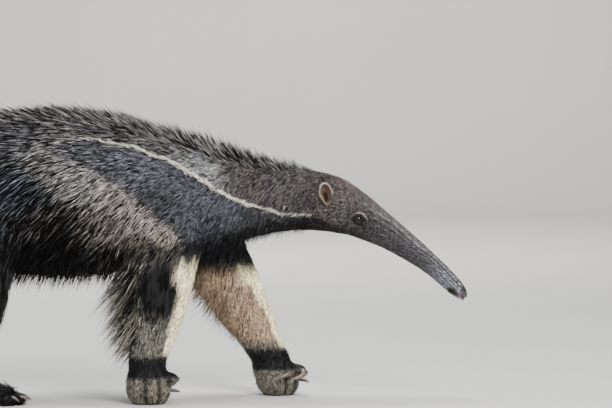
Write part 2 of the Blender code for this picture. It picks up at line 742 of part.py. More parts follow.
def add_face(head, animal, work):
    """Eyes between their lids, ears, nostrils and the line of the mouth."""
    surface = bmesh.new()
    surface.from_mesh(head.data)
    tree = BVHTree.FromBMesh(surface)
    surface.free()
    faces = {}
    for side, sign in (("right", -1), ("left", 1)):
        place, normal = side_surface(tree, *EYE_PLACE, sign)
        eye = place - normal * EYE_SINK
        faces["eye_" + side] = ellipsoid(
            "eye_" + side, eye, (EYE_RADIUS,) * 3, animal, segments=10, rings=7
        )
        bpy.ops.mesh.primitive_torus_add(
            major_segments=12, minor_segments=4, major_radius=LID_RADIUS,
            minor_radius=LID_THICKNESS,
        )
        ring = bpy.context.object
        slant = Matrix.Rotation(math.radians(EYE_SLANT), 4, "Y")
        facing = normal.to_track_quat("Z", "X").to_matrix().to_4x4()
        flat = Matrix.Diagonal((1.0, LID_OPENING, 0.9, 1.0))
        ring.data.transform(Matrix.Translation(place - normal * LID_SINK) @ slant @ facing @ flat)
        boolean(head, "UNION", ring)
        bpy.data.objects.remove(ring)
        boolean(head, "DIFFERENCE", grown(faces["eye_" + side], GAP, work))
        nostril = Vector((NOSTRIL_PLACE[0], sign * NOSTRIL_PLACE[1], NOSTRIL_PLACE[2]))
        lean = Matrix.Rotation(math.radians(NOSTRIL_LEAN), 4, "Y")
        boolean(head, "DIFFERENCE", ellipsoid("nostril", nostril, NOSTRIL_RADII, work, lean, 8, 5))
    for z, deep, long in LIPS:
        lean = Matrix.Rotation(math.radians(MOUTH_LEAN), 4, "Y")
        place = Matrix.Translation((MOUTH_PLACE[0], 0, MOUTH_PLACE[1])) @ lean @ Vector((0, 0, z))
        lip = ellipsoid("lip", place, (long, LIP_WIDTH, deep), work, lean, 10, 6)
        boolean(head, "UNION", lip)
    mouth = block("mouth", (-MOUTH_LENGTH / 2, -1, -MOUTH_GAP / 2),
                  (MOUTH_LENGTH / 2, 1, MOUTH_GAP / 2), work)
    lean = Matrix.Rotation(math.radians(MOUTH_LEAN), 4, "Y")
    mouth.data.transform(Matrix.Translation((MOUTH_PLACE[0], 0, MOUTH_PLACE[1])) @ lean)
    boolean(head, "DIFFERENCE", mouth)
    keep_largest(head)
    for side, sign in (("right", -1), ("left", 1)):
        place, normal = side_surface(tree, *EAR_PLACE, sign)
        faces["ear_" + side] = build_ear("ear_" + side, place, sign, head, animal, work)
    return faces


def build_ear(name, place, sign, head, animal, work):
    """A cup-shaped ear that opens outwards and forwards, cut clear of the head."""
    turn = (Matrix.Rotation(math.radians(-sign * EAR_TURN), 4, "Z")
            @ Matrix.Rotation(math.radians(sign * EAR_SPREAD), 4, "X")
            @ Matrix.Rotation(math.radians(EAR_LEAN), 4, "Y"))
    out = Vector((0, sign, 0))
    centre = place + out * EAR_STAND
    radii = (EAR_WIDTH / 2, EAR_DEPTH, EAR_HEIGHT / 2)
    ear = ellipsoid(name, centre, radii, animal, turn, 11, 7)
    hollow = centre + turn.to_3x3() @ (out * EAR_DEPTH * 0.85)
    inner = Vector(radii) - Vector((EAR_RIM, 0, EAR_RIM))
    boolean(ear, "DIFFERENCE", ellipsoid("cup", hollow, inner, work, turn, 11, 7))
    boolean(ear, "DIFFERENCE", grown(head, GAP, work))
    keep_largest(ear)
    return ear


def claw(name, radius, bend, thickness, place, collection, steps=4):
    """A horn that bends down through an angle, and tapers to its tip."""
    sections = []
    for i in range(steps + 1):
        t = i / steps
        angle = math.radians(bend) * t
        wide = thickness * (1 - 0.93 * t**1.6)
        sections.append((radius * math.sin(angle), 0.0, radius * (math.cos(angle) - 1),
                         wide, wide, wide * 0.8))
    horn = loft(name, sections, CLAW_SIDES, collection, between=0)
    horn.data.transform(place)
    return horn


def add_claws(nodes, animal, work):
    """Three claws tucked inwards on each forefoot and five short ones on each hind foot."""
    claws = {}
    for side, sign, foreleg, hindleg in (
        ("right", -1, FORELEG_RIGHT, HINDLEG_RIGHT),
        ("left", 1, FORELEG_LEFT, HINDLEG_LEFT),
    ):
        foot = grown(nodes["forefoot_" + side], GAP, work)
        for size in FORECLAWS:
            name = f"claw_fore_{side}_{size}"
            start, heading, thick = foreclaw_start(foreleg, size, sign)
            roll = Matrix.Rotation(math.radians(-sign * FORECLAW_ROLL), 4, "X")
            place = Matrix.Translation(start) @ heading @ roll
            radius, bend = FORECLAWS[size][4:6]
            claws[name] = claw(name, radius, bend, thick, place, animal)
            boolean(claws[name], "DIFFERENCE", foot)
            keep_largest(claws[name])
        foot = grown(nodes["hindfoot_" + side], GAP, work)
        ankle = hindleg[-1]
        for i in range(HINDCLAWS):
            name = f"claw_hind_{side}_{i + 1}"
            x, y, z = toe_place(ankle, i, sign)
            start = Matrix.Translation((x + TOE_RADII[0] * 0.6, y, z + 0.004))
            claws[name] = claw(name, HINDCLAW_RADIUS, HINDCLAW_BEND, HINDCLAW_THICKNESS, start, animal, 2)
            boolean(claws[name], "DIFFERENCE", foot)
            keep_largest(claws[name])
    return claws


def toe_place(ankle, number, sign):
    """Where a hind toe lies; number 0 is the inner one."""
    spread = (number - (HINDCLAWS - 1) / 2) / ((HINDCLAWS - 1) / 2)
    ahead = TOES_AHEAD - TOES_BACK * spread**2
    return ankle[0] + ahead, ankle[1] + sign * TOES_SPREAD * spread, TOE_RADII[2] * 0.95


def foreclaw_start(limb, size, sign):
    """Where a foreclaw leaves its knuckle, which way it heads and how thick it is."""
    ahead, inwards, up, turn, _, _, thick = FORECLAWS[size]
    x, y = limb[-2][:2]
    heading = Matrix.Rotation(math.radians(-sign * turn), 4, "Z")
    return Vector((x + ahead, y - sign * inwards, up)), heading, thick


def tidy_up(animal, work):
    """Moves the nodes to their origin and removes the helpers."""
    for helper in list(work.objects):
        bpy.data.objects.remove(helper)
    for name, (colour, roughness, starts) in MATERIALS.items():
        material = make_material(name, colour, roughness)
        for node in animal.objects:
            if node.name.startswith(starts):
                node.data.materials.clear()
                node.data.materials.append(material)
    for node in animal.objects:
        node.data.transform(Matrix.Translation((ORIGIN_SHIFT, 0, 0)))
        node.data.shade_smooth()
        node.data.set_sharp_from_angle(angle=math.radians(40))


def main():
    clear_scene()
    animal = bpy.data.collections.new("giant anteater")
    work = bpy.data.collections.new("helpers")
    for group in (animal, work):
        bpy.context.scene.collection.children.link(group)
    whole = build_flesh(work)
    nodes = part_flesh(whole, animal, work)
    nodes.update(add_face(nodes["head"], animal, work))
    nodes.update(add_claws(nodes, animal, work))
    tidy_up(animal, work)


main()
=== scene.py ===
import math

import bpy
import numpy as np
from mathutils import Matrix, Vector
from mathutils.bvhtree import BVHTree


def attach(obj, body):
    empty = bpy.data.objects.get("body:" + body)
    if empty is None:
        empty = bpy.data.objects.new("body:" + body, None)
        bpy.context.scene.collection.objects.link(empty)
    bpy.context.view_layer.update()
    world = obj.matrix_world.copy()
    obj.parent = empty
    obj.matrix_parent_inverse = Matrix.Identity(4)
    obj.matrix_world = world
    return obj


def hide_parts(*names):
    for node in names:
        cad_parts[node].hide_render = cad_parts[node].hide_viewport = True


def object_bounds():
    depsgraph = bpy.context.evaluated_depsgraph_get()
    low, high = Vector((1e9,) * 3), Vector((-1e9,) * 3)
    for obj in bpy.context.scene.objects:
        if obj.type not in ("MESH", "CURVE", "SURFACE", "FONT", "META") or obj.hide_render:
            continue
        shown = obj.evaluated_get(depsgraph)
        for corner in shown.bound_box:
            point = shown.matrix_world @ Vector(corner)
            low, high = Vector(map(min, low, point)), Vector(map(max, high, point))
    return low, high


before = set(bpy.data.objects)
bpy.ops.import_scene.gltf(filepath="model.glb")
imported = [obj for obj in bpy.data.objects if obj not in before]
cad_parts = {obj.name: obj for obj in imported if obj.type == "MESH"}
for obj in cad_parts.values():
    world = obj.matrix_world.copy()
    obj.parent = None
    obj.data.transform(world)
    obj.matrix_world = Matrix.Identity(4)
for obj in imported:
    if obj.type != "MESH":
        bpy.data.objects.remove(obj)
cadLow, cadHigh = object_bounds()
chance = np.random.default_rng(23)
bpy.ops.object.select_all(action='DESELECT')

# The camera stands level with the shoulder on the animal's right
camera = {
    "target": (0.616, 0.0, 0.377),
    "distance": 7.0,
    "down": 2.8,
    "frameWidth": 1.177,
    "sensor": 36.0,
    "clip": (0.1, 100),
}

# Trunk, neck and head: x, z of the middle, half height, half width, coat, mane
frontShift = 0.470
spine = {
    "rump end": (-0.612, 0.428, 0.040, 0.036, 0.010, 0.020),
    "rump": (-0.575, 0.418, 0.092, 0.078, 0.012, 0.020),
    "hips": (-0.500, 0.404, 0.132, 0.112, 0.013, 0.018),
    "loin": (-0.400, 0.395, 0.153, 0.126, 0.013, 0.018),
    "belly": (-0.295, 0.393, 0.154, 0.130, 0.013, 0.018),
    "last rib": (-0.205, 0.388, 0.145, 0.122, 0.013, 0.020),
    "shoulder blade": (-0.125, 0.382, 0.124, 0.110, 0.013, 0.022),
    "withers": (-0.055, 0.380, 0.105, 0.094, 0.012, 0.024),
    "neck base": (0.015, 0.383, 0.085, 0.074, 0.011, 0.022),
    "neck": (0.070, 0.385, 0.069, 0.061, 0.009, 0.017),
    "nape": (0.120, 0.386, 0.062, 0.054, 0.006, 0.010),
    "occiput": (0.165, 0.383, 0.057, 0.050, 0.003, 0.005),
    "ear": (0.195, 0.377, 0.053, 0.047, 0.000, 0.003),
    "cheek": (0.221, 0.367, 0.048, 0.043, 0.000, 0.002),
    "eye": (0.245, 0.356, 0.042, 0.038, 0.000, 0.002),
    "brow": (0.274, 0.339, 0.0355, 0.031, 0.000, 0.001),
    "upper snout": (0.306, 0.3195, 0.0295, 0.0265, 0.000, 0.001),
    "middle snout": (0.345, 0.2925, 0.0240, 0.0225, 0.000, 0.001),
    "lower snout": (0.386, 0.2610, 0.0192, 0.0190, 0.000, 0.001),
    "lips": (0.420, 0.2300, 0.0170, 0.0165, 0.000, 0.001),
    "nose": (0.437, 0.2130, 0.0150, 0.0150, 0.000, 0.001),
    "nose tip": (0.449, 0.2005, 0.0098, 0.0105, 0.000, 0.000),
    "nose end": (0.453, 0.1965, 0.0045, 0.0050, 0.000, 0.000),
}

# Limbs from the trunk to the floor: x, y, z, half depth, half width
limbs = {
    "foreleg right": (
        (-0.115, -0.046, 0.400, 0.070, 0.044), (-0.122, -0.066, 0.330, 0.078, 0.046),
        (-0.130, -0.080, 0.265, 0.070, 0.044), (-0.136, -0.086, 0.200, 0.061, 0.041),
        (-0.146, -0.088, 0.135, 0.047, 0.036), (-0.156, -0.088, 0.085, 0.037, 0.033),
        (-0.155, -0.088, 0.048, 0.041, 0.038), (-0.153, -0.088, 0.015, 0.043, 0.040),
        (-0.153, -0.088, -0.012, 0.036, 0.033),
    ),
    "foreleg left": (
        (-0.090, 0.046, 0.400, 0.070, 0.044), (-0.060, 0.066, 0.330, 0.074, 0.046),
        (-0.028, 0.080, 0.265, 0.066, 0.044), (0.008, 0.086, 0.200, 0.057, 0.040),
        (0.045, 0.088, 0.135, 0.045, 0.036), (0.070, 0.088, 0.085, 0.037, 0.033),
        (0.084, 0.088, 0.048, 0.041, 0.038), (0.092, 0.088, 0.015, 0.043, 0.040),
        (0.092, 0.088, -0.012, 0.036, 0.033),
    ),
    "hindleg right": (
        (-0.480, -0.052, 0.410, 0.090, 0.050), (-0.488, -0.074, 0.340, 0.096, 0.056),
        (-0.485, -0.088, 0.270, 0.080, 0.050), (-0.480, -0.094, 0.200, 0.058, 0.042),
        (-0.488, -0.096, 0.140, 0.045, 0.036), (-0.502, -0.096, 0.085, 0.036, 0.031),
        (-0.508, -0.096, 0.045, 0.037, 0.031), (-0.508, -0.096, 0.018, 0.036, 0.031),
    ),
    "hindleg left": (
        (-0.485, 0.052, 0.410, 0.090, 0.050), (-0.504, 0.074, 0.340, 0.094, 0.056),
        (-0.520, 0.088, 0.270, 0.078, 0.050), (-0.540, 0.094, 0.200, 0.057, 0.042),
        (-0.566, 0.096, 0.140, 0.045, 0.036), (-0.592, 0.096, 0.085, 0.036, 0.031),
        (-0.600, 0.096, 0.045, 0.037, 0.031), (-0.600, 0.096, 0.018, 0.036, 0.031),
    ),
}

# Tail under its hair: x, z, half depth, half width
tail = (
    (-0.540, 0.432, 0.036, 0.030), (-0.620, 0.432, 0.054, 0.042), (-0.700, 0.424, 0.052, 0.040),
    (-0.800, 0.400, 0.044, 0.034), (-0.920, 0.362, 0.034, 0.027), (-1.040, 0.318, 0.023, 0.019),
    (-1.140, 0.278, 0.013, 0.011), (-1.196, 0.254, 0.005, 0.005),
)

# Hind sole from the heel: ahead of the ankle, z, half height, half width
sole = (
    (-0.046, 0.020, 0.014, 0.016), (-0.030, 0.022, 0.028, 0.028), (0.010, 0.026, 0.034, 0.032),
    (0.050, 0.019, 0.029, 0.037), (0.078, 0.014, 0.024, 0.040), (0.092, 0.012, 0.014, 0.028),
)

skin = {
    "trunkSides": 40,
    "limbSides": 24,
    "ringsBetween": 3,
    "narrowing": 0.28,
    "coatShare": 0.68,
    "maneShare": 0.15,
    "limbInset": 0.001,
    "voxel": 0.0035,
    "smoothTurns": 6,
    "cutAt": 0.0003,
    "flatBelow": 0.0022,
    "coveredFaces": 0.30,
    "coveredTo": (0.58, 0.50),
    "coveredFrom": (0.10, 0.13),
    "headStart": 0.600,
    "headFloor": 0.170,
    "headLine": 0.55,
    "legsBelow": 0.300,
}

toes = {
    "count": 5,
    "radii": (0.0185, 0.0092, 0.0125),
    "ahead": 0.104,
    "back": 0.020,
    "spread": 0.031,
    "low": 0.95,
    "clawAhead": 0.6,
    "clawAbove": 0.004,
}

# Foreclaws: ahead of the foot, inwards, up, turned inwards, bend radius, bend, thickness
foreclaws = {
    "large": (0.042, 0.006, 0.047, 40.0, 0.0245, 150.0, 0.0088),
    "middle": (0.022, 0.030, 0.046, 75.0, 0.0190, 135.0, 0.0068),
    "small": (0.042, -0.018, 0.028, -5.0, 0.0150, 110.0, 0.0048),
}
knuckle = {
    "back": 0.010,
    "thick": 1.5,
    "shape": (1.9, 1.0, 1.1),
}
sides = (("right", -1), ("left", 1))


def report(words):
    print("anteater:", words)


def smoothRows(rows, between):
    # More rows between the given ones, on a smooth curve through them
    rows = np.array(rows, float)
    last = len(rows) - 1
    full = []
    for i in range(last):
        a, b = rows[max(i - 1, 0)], rows[i]
        c, d = rows[i + 1], rows[min(i + 2, last)]
        for k in range(between + 1):
            t = k / (between + 1)
            full.append(0.5 * (2 * b + (c - a) * t + (2 * a - 5 * b + 4 * c - d) * t**2
                               + (3 * b - a - 3 * c + d) * t**3))
    full.append(rows[last])
    return np.array(full)


def trunkRows():
    # x, y, z, half depth, half width of the flesh, moved to the frame's origin
    rows = []
    for x, z, high, wide, coat, mane in spine.values():
        hidden = coat * skin["coatShare"]
        above = high + mane * skin["maneShare"] - hidden
        below = high - hidden
        rows.append((x + frontShift, 0.0, z + (above - below) / 2, (above + below) / 2, wide - hidden))
    return smoothRows(rows, skin["ringsBetween"])


def limbRows(name):
    return smoothRows([(x + frontShift, y, z, deep - skin["limbInset"], wide - skin["limbInset"])
                       for x, y, z, deep, wide in limbs[name]], skin["ringsBetween"])


def tailRows():
    return smoothRows([(x + frontShift, 0.0, z, deep, wide) for x, z, deep, wide in tail],
                      skin["ringsBetween"])


def soleRows(name):
    ankle = limbs[name][-1]
    return smoothRows([(ankle[0] + x + frontShift, ankle[1], z, high, wide)
                       for x, z, high, wide in sole], 1)


def growForm(name, rows, ringSides, narrowing=0.0):
    # A circle is extruded ring by ring along the rows; each ring is square to the path
    bpy.ops.object.select_all(action='DESELECT')
    bpy.ops.mesh.primitive_circle_add(vertices=ringSides, radius=1, fill_type='NGON',
                                      rotation=(0, math.pi / 2, 0))
    form = bpy.context.object
    form.name = name
    bpy.ops.object.transform_apply(location=False, rotation=True, scale=True)
    for v in form.data.vertices:
        v.co.y *= 1 - narrowing * max(v.co.z, 0) ** 2
    last = len(rows) - 1
    here = Vector((0, 0, 0))
    size = (1.0, 1.0)
    tilt = 0.0
    bpy.ops.object.mode_set(mode='EDIT')
    bpy.ops.mesh.select_all(action='SELECT')
    for i, (x, y, z, deep, wide) in enumerate(rows):
        start, end = rows[max(i - 1, 0)], rows[min(i + 1, last)]
        lean = -math.atan2(end[2] - start[2], end[0] - start[0])
        place = Vector((x, y, z))
        if i:
            bpy.ops.mesh.extrude_region_move(TRANSFORM_OT_translate={"value": place - here})
        else:
            bpy.ops.transform.translate(value=place - here)
        bpy.ops.transform.rotate(value=tilt, orient_axis='Y', center_override=place)
        bpy.ops.transform.resize(value=(1, wide / size[0], deep / size[1]), center_override=place)
        bpy.ops.transform.rotate(value=-lean, orient_axis='Y', center_override=place)
        here, size, tilt = place, (wide, deep), lean
    bpy.ops.mesh.select_all(action='SELECT')
    bpy.ops.mesh.normals_make_consistent(inside=False)
    bpy.ops.object.mode_set(mode='OBJECT')
    return form


def addBall(name, centre, radii, turn=None, segments=20, rings=12):
    bpy.ops.object.select_all(action='DESELECT')
    bpy.ops.mesh.primitive_uv_sphere_add(segments=segments, ring_count=rings, radius=1)
    ball = bpy.context.object
    ball.name = name
    placeLocally(ball, Matrix.Translation(centre) @ (turn or Matrix()) @ Matrix.Diagonal((*radii, 1)))
    return ball


def toePlace(leg, number, sign):
    ankle = limbs[leg][-1]
    half = (toes["count"] - 1) / 2
    share = (number - half) / half
    return Vector((ankle[0] + frontShift + toes["ahead"] - toes["back"] * share**2,
                   ankle[1] + sign * toes["spread"] * share, toes["radii"][2] * toes["low"]))


def foreclawPlace(leg, size, sign):
    ahead, inwards, up, turn = foreclaws[size][:4]
    x, y = limbs[leg][-2][:2]
    heading = Matrix.Rotation(math.radians(-sign * turn), 4, 'Z')
    return Vector((x + frontShift + ahead, y - sign * inwards, up)), heading


def pick(thing):
    bpy.ops.object.select_all(action='DESELECT')
    thing.select_set(True)
    bpy.context.view_layer.objects.active = thing


def joinForms(forms, name):
    bpy.ops.object.select_all(action='DESELECT')
    for form in forms:
        form.select_set(True)
    bpy.context.view_layer.objects.active = forms[0]
    bpy.ops.object.join()
    forms[0].name = name
    return forms[0]


def shapeBy(kind, thing, **settings):
    # Adds one modifier with its settings and applies it
    modifier = thing.modifiers.new("change", kind)
    for key, value in settings.items():
        setattr(modifier, key, value)
    pick(thing)
    bpy.ops.object.modifier_apply(modifier=modifier.name)


def weighPoints(thing, name, weights):
    group = thing.vertex_groups.new(name=name)
    for i in np.nonzero(weights > 0)[0]:
        group.add([int(i)], float(weights[i]), 'REPLACE')


def placeLocally(thing, where):
    thing.matrix_world = where
    pick(thing)
    bpy.ops.object.transform_apply(location=True, rotation=True, scale=True)


def readAll(items, key, width=1, kind=float):
    values = np.empty(len(items) * width, kind)
    items.foreach_get(key, values)
    return values.reshape(-1, width) if width > 1 else values


def coordinates(mesh):
    return readAll(mesh.vertices, "co", 3)


def normalsOf(mesh):
    return readAll(mesh.vertices, "normal", 3)


def putCoordinates(mesh, co):
    mesh.vertices.foreach_set("co", co.ravel())
    mesh.update()


def step(low, high, value):
    t = np.clip((value - low) / (high - low), 0, 1)
    return t * t * (3 - 2 * t)


def hill(value, width):
    return np.exp(-(value / width) ** 2)


def unit(vectors):
    return vectors / np.maximum(np.linalg.norm(vectors, axis=-1, keepdims=True), 1e-9)


def table(rows, value):
    rows = np.array(rows)
    return np.interp(value, rows[:, 0], rows[:, 1])


def dot(a, b):
    return (a * b).sum(-1, keepdims=True)


def waver(points, scale, seed):
    # Smooth noise from -1 to 1: a few sine waves in odd directions
    draw = np.random.default_rng(seed)
    total = np.zeros(len(points))
    waves, around = 7, 6.28
    for _ in range(waves):
        way = draw.normal(size=3)
        total += np.sin(points @ (way / np.linalg.norm(way)) * scale * draw.uniform(0.6, 1.7) * around
                        + draw.uniform(0, around))
    return total / (waves / 2)


def cellNoise(points, size):
    # One even random value from 0 to 1 for every small cube of space
    cells = np.floor(points / size).astype(np.int64)
    primes, stir, wrap, values = (73856093, 19349663, 83492791), 2654435761, 4294967296, 9973
    return (cells @ np.array(primes) * stir % wrap >> 8) % values / values


def runLengths(line):
    return np.concatenate([[0], np.cumsum(np.linalg.norm(np.diff(line, axis=0), axis=1))])


def alongAxis(axis, flat):
    # The nearest stretch of a bent axis, the share of it, how far along, above and away
    lengths = runLengths(axis)
    best = np.full(len(flat), 9.0)
    share, along, rise = (np.zeros(len(flat)) for _ in range(3))
    nearest = np.zeros(len(flat), int)
    for i in range(len(axis) - 1):
        way = axis[i + 1] - axis[i]
        long = np.linalg.norm(way)
        way = way / long
        away = flat - axis[i]
        t = np.clip(away @ way, 0, long)
        miss = np.linalg.norm(away - np.outer(t, way), axis=1)
        closer = miss < best
        best = np.where(closer, miss, best)
        nearest = np.where(closer, i, nearest)
        share = np.where(closer, t / long, share)
        along = np.where(closer, lengths[i] + t, along)
        rise = np.where(closer, away @ np.array((-way[1], way[0])), rise)
    return nearest, share, along, rise, best


def signOf(name):
    return -1 if name.endswith("right") else 1


def mix(a, b, share):
    a = np.asarray(a)
    return a + (np.asarray(b) - a) * share[:, None]


def addColours(mesh, name, colours):
    full = np.ones((len(colours), 4))
    full[:, :3] = colours
    layer = mesh.color_attributes.new(name=name, type='FLOAT_COLOR', domain='POINT')
    layer.data.foreach_set("color", full.ravel())


def addValues(mesh, name, values, kind='FLOAT', key="value"):
    mesh.attributes.new(name=name, type=kind, domain='POINT').data.foreach_set(key, np.ravel(values))


def dress(piece, material, slot, *nodes):
    # A finished piece takes its material and its body, and hides the nodes it stands for
    piece.data.shade_smooth()
    piece.data.materials.append(material)
    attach(piece, "root")
    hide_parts(*nodes)


# The body
report("body")
forms = [growForm("body", trunkRows(), skin["trunkSides"], skin["narrowing"])]
headForm = forms[0].copy()
headForm.data = forms[0].data.copy()
bpy.context.scene.collection.objects.link(headForm)
for name in limbs:
    forms.append(growForm(name, limbRows(name), skin["limbSides"]))
    sign = signOf(name)
    if name.startswith("hind"):
        forms.append(growForm(name + " sole", soleRows(name), 20))
        for number in range(toes["count"]):
            forms.append(addBall("toe", toePlace(name, number, sign), toes["radii"]))
    else:
        for size, row in foreclaws.items():
            start, heading = foreclawPlace(name, size, sign)
            radii = [row[6] * knuckle["thick"] * stretch for stretch in knuckle["shape"]]
            back = heading.to_3x3() @ Vector((knuckle["back"], 0, 0))
            forms.append(addBall("knuckle", start - back, radii, heading))
forms.append(growForm("tail", tailRows(), skin["limbSides"]))
body = joinForms(forms, "skin")
shapeBy('REMESH', body, mode='VOXEL', voxel_size=skin["voxel"])
bpy.ops.object.mode_set(mode='EDIT')
bpy.ops.mesh.select_all(action='SELECT')
bpy.ops.mesh.bisect(plane_co=(0, 0, skin["cutAt"]), plane_no=(0, 0, 1), use_fill=True, clear_inner=True)
bpy.ops.object.mode_set(mode='OBJECT')
shapeBy('SMOOTH', body, factor=0.5, iterations=skin["smoothTurns"])
co = coordinates(body.data)
co[:, 2] = np.where(co[:, 2] < skin["flatBelow"], 0.0, co[:, 2])
putCoordinates(body.data, co)
report(f"skin {len(body.data.polygons)} faces")

# Fewer faces where the coat hides the skin
co = coordinates(body.data)
weighPoints(body, "covered", step(*skin["coveredTo"], co[:, 0]) * step(*skin["coveredFrom"], co[:, 2]))
shapeBy('DECIMATE', body, ratio=skin["coveredFaces"], vertex_group="covered", vertex_group_factor=10.0)
report(f"skin {len(body.data.polygons)} faces, thinned under the coat")

# The head is finer than the body: more faces, then moved onto the smooth form
head = {
    "eye": (0.7170, 0.3475),
    "ear": (0.6525, 0.3975),
    "eyeLean": -14.0,
    "eyeFine": 0.030,
    "tipFine": (0.868, 0.262),
    "cheekFrom": (0.600, 0.640),
}


def divideWhere(thing, test):
    # Divides the faces whose middles pass a test
    pick(thing)
    mesh = thing.data
    for items in (mesh.vertices, mesh.edges):
        items.foreach_set("select", np.zeros(len(items), bool))
    mesh.polygons.foreach_set("select", test(readAll(mesh.polygons, "center", 3)))
    mesh.update()
    bpy.ops.object.mode_set(mode='EDIT')
    bpy.ops.mesh.select_mode(type='FACE')
    bpy.ops.mesh.subdivide(number_cuts=1, quadcorner='INNERVERT')
    bpy.ops.mesh.select_mode(type='VERT')
    bpy.ops.mesh.select_all(action='DESELECT')
    bpy.ops.object.mode_set(mode='OBJECT')


def onHead(points):
    return (points[:, 0] > skin["headStart"]) & (points[:, 2] > skin["headFloor"])


def nearEye(points):
    return onHead(points) & (np.hypot(points[:, 0] - head["eye"][0], points[:, 2] - head["eye"][1])
                             < head["eyeFine"]) & (np.abs(points[:, 1]) > 0.012)


def nearTip(points):
    return onHead(points) & (points[:, 0] > head["tipFine"][0]) & (points[:, 2] < head["tipFine"][1])


report("head")
for test in (onHead, nearEye, nearTip):
    divideWhere(body, test)
shapeBy('SUBSURF', headForm, levels=2, render_levels=2)
co = coordinates(body.data)
weighPoints(body, "onto", step(*head["cheekFrom"], co[:, 0]) * (co[:, 2] > skin["headFloor"]))
shapeBy('SHRINKWRAP', body, target=headForm, wrap_method='NEAREST_SURFACEPOINT', vertex_group="onto")
shapeBy('SMOOTH', body, factor=0.5, iterations=2, vertex_group="onto")
bpy.data.objects.remove(headForm)
body.vertex_groups.clear()


def treeOf(mesh):
    mesh.calc_loop_triangles()
    corners = readAll(mesh.loop_triangles, "vertices", 3, np.int32)
    co = coordinates(mesh)
    return BVHTree.FromPolygons(co.tolist(), corners.tolist()), co, corners


def fromBeside(tree, x, z, sign):
    return tree.ray_cast(Vector((x, sign, z)), Vector((0, -sign, 0)))


# Where the side of the head is met at the ears and the eyes
flatTree, _, _ = treeOf(body.data)
earPlaces, eyePlaces = {}, {}
lean = math.radians(head["eyeLean"])
for side, sign in sides:
    earPlaces[side] = fromBeside(flatTree, *head["ear"], sign)[0]
    place, normal, _, _ = fromBeside(flatTree, *head["eye"], sign)
    ahead = Vector((math.cos(lean), 0, math.sin(lean)))
    ahead = (ahead - normal * ahead.dot(normal)).normalized()
    eyePlaces[side] = (place, normal, ahead, normal.cross(ahead) * -sign)

# Lids and folds, by distance from the middle of the eye in eye widths
eyeForm = {
    "openAhead": 0.0071,
    "openAbove": 0.0059,
    "foldAhead": 0.0158,
    "foldAbove": 0.0140,
    "bowl": (0.0026, 0.0150),
    "hole": 0.0085,
    "lid": (0.0014, 1.22, 0.16),
    "lowerFold": (0.0008, 1.85, 0.20),
    "upperFold": (0.0021, 1.00, 0.12),
    "groove": (-0.0014, 0.76, 0.09),
    "farGroove": (-0.0012, 1.24, 0.11),
    "brow": (0.0016, 0.0190, 0.0080),
    "corner": 0.42,
}


def eyeReach(a, b):
    # Distance from the middle of the eye in lid openings, drawn out to the corners
    wide, high = eyeForm["openAhead"], eyeForm["openAbove"]
    rounded = np.hypot(a / wide, b / high)
    pointed = np.abs(a) / wide * 0.86 + np.abs(b) / high * 0.86
    return rounded + (pointed - rounded) * eyeForm["corner"]


def foldReach(a, b):
    return np.hypot(a / eyeForm["foldAhead"], b / eyeForm["foldAbove"])


def acrossEye(points, side):
    # How far each point is ahead of, above and out from the middle of an eye
    place, normal, ahead, above = (np.array(v) for v in eyePlaces[side])
    away = points - place
    return away @ ahead, away @ above, away @ normal, normal


def sculptEye(co, side):
    a, b, depth, normal = acrossEye(co, side)
    near = (np.abs(depth) < 0.02) & (np.hypot(a, b) < 0.045)
    reach = eyeReach(a, b)
    uneven = 1 + 0.35 * waver(co, 45, 14)
    rise = b / eyeForm["openAbove"]
    upper, lower = step(-0.25, 0.35, rise), step(0.25, -0.35, rise)
    push = -eyeForm["bowl"][0] * hill(np.hypot(a, b), eyeForm["bowl"][1])
    push -= eyeForm["hole"] * step(1.02, 0.80, reach)
    arch = foldReach(a, b) + 0.05 * waver(co, 60, 15)
    for fold, ring, where in (("lid", reach, 1.0), ("lowerFold", reach, lower), ("upperFold", arch, upper),
                              ("groove", arch, upper), ("farGroove", arch, upper)):
        high, at, wide = eyeForm[fold]
        push += high * hill(ring - at, wide) * where * uneven
    high, at, wide = eyeForm["brow"]
    push += high * hill(b - at, wide) * hill(a + 0.004, 0.022)
    # Short wrinkles run forwards and down from the corners of the eye
    fan = np.arctan2(b, a)
    wrinkles = np.sin(fan * 11 + 2.5 * waver(co, 30, 16)) * step(-0.4, 0.5, waver(co, 50, 17))
    push += 0.00040 * wrinkles * hill(reach - 2.7, 0.9) * step(1.8, 2.3, reach)
    return co + np.outer(np.where(near, push, 0), normal)


# The hollow of the skin that the cup of the ear stands in
earHollow = {
    "lean": -9.0,
    "half": (0.0112, 0.0185),
    "depth": 0.0210,
}


def earReach(points):
    lean = math.radians(earHollow["lean"])
    x, z = points[:, 0] - head["ear"][0], points[:, 2] - head["ear"][1]
    a = x * math.cos(lean) - z * math.sin(lean)
    b = x * math.sin(lean) + z * math.cos(lean)
    return np.hypot(a / earHollow["half"][0], b / earHollow["half"][1])


def sculptEar(co, normals):
    return co - normals * (earHollow["depth"] * step(1.0, 0.72, earReach(co)) * onHead(co))[:, None]


# Forefeet: clefts between the fingers and a rounded lower edge
fist = {
    "top": 0.070,
    "clefts": ((-62.0, 9.0), (-24.0, 9.0), (14.0, 9.0), (52.0, 9.0), (100.0, 12.0)),
    "deep": 0.0060,
    "slant": 60,
    "slantFrom": 0.03,
    "edge": 0.026,
    "roundBy": 0.0100,
}


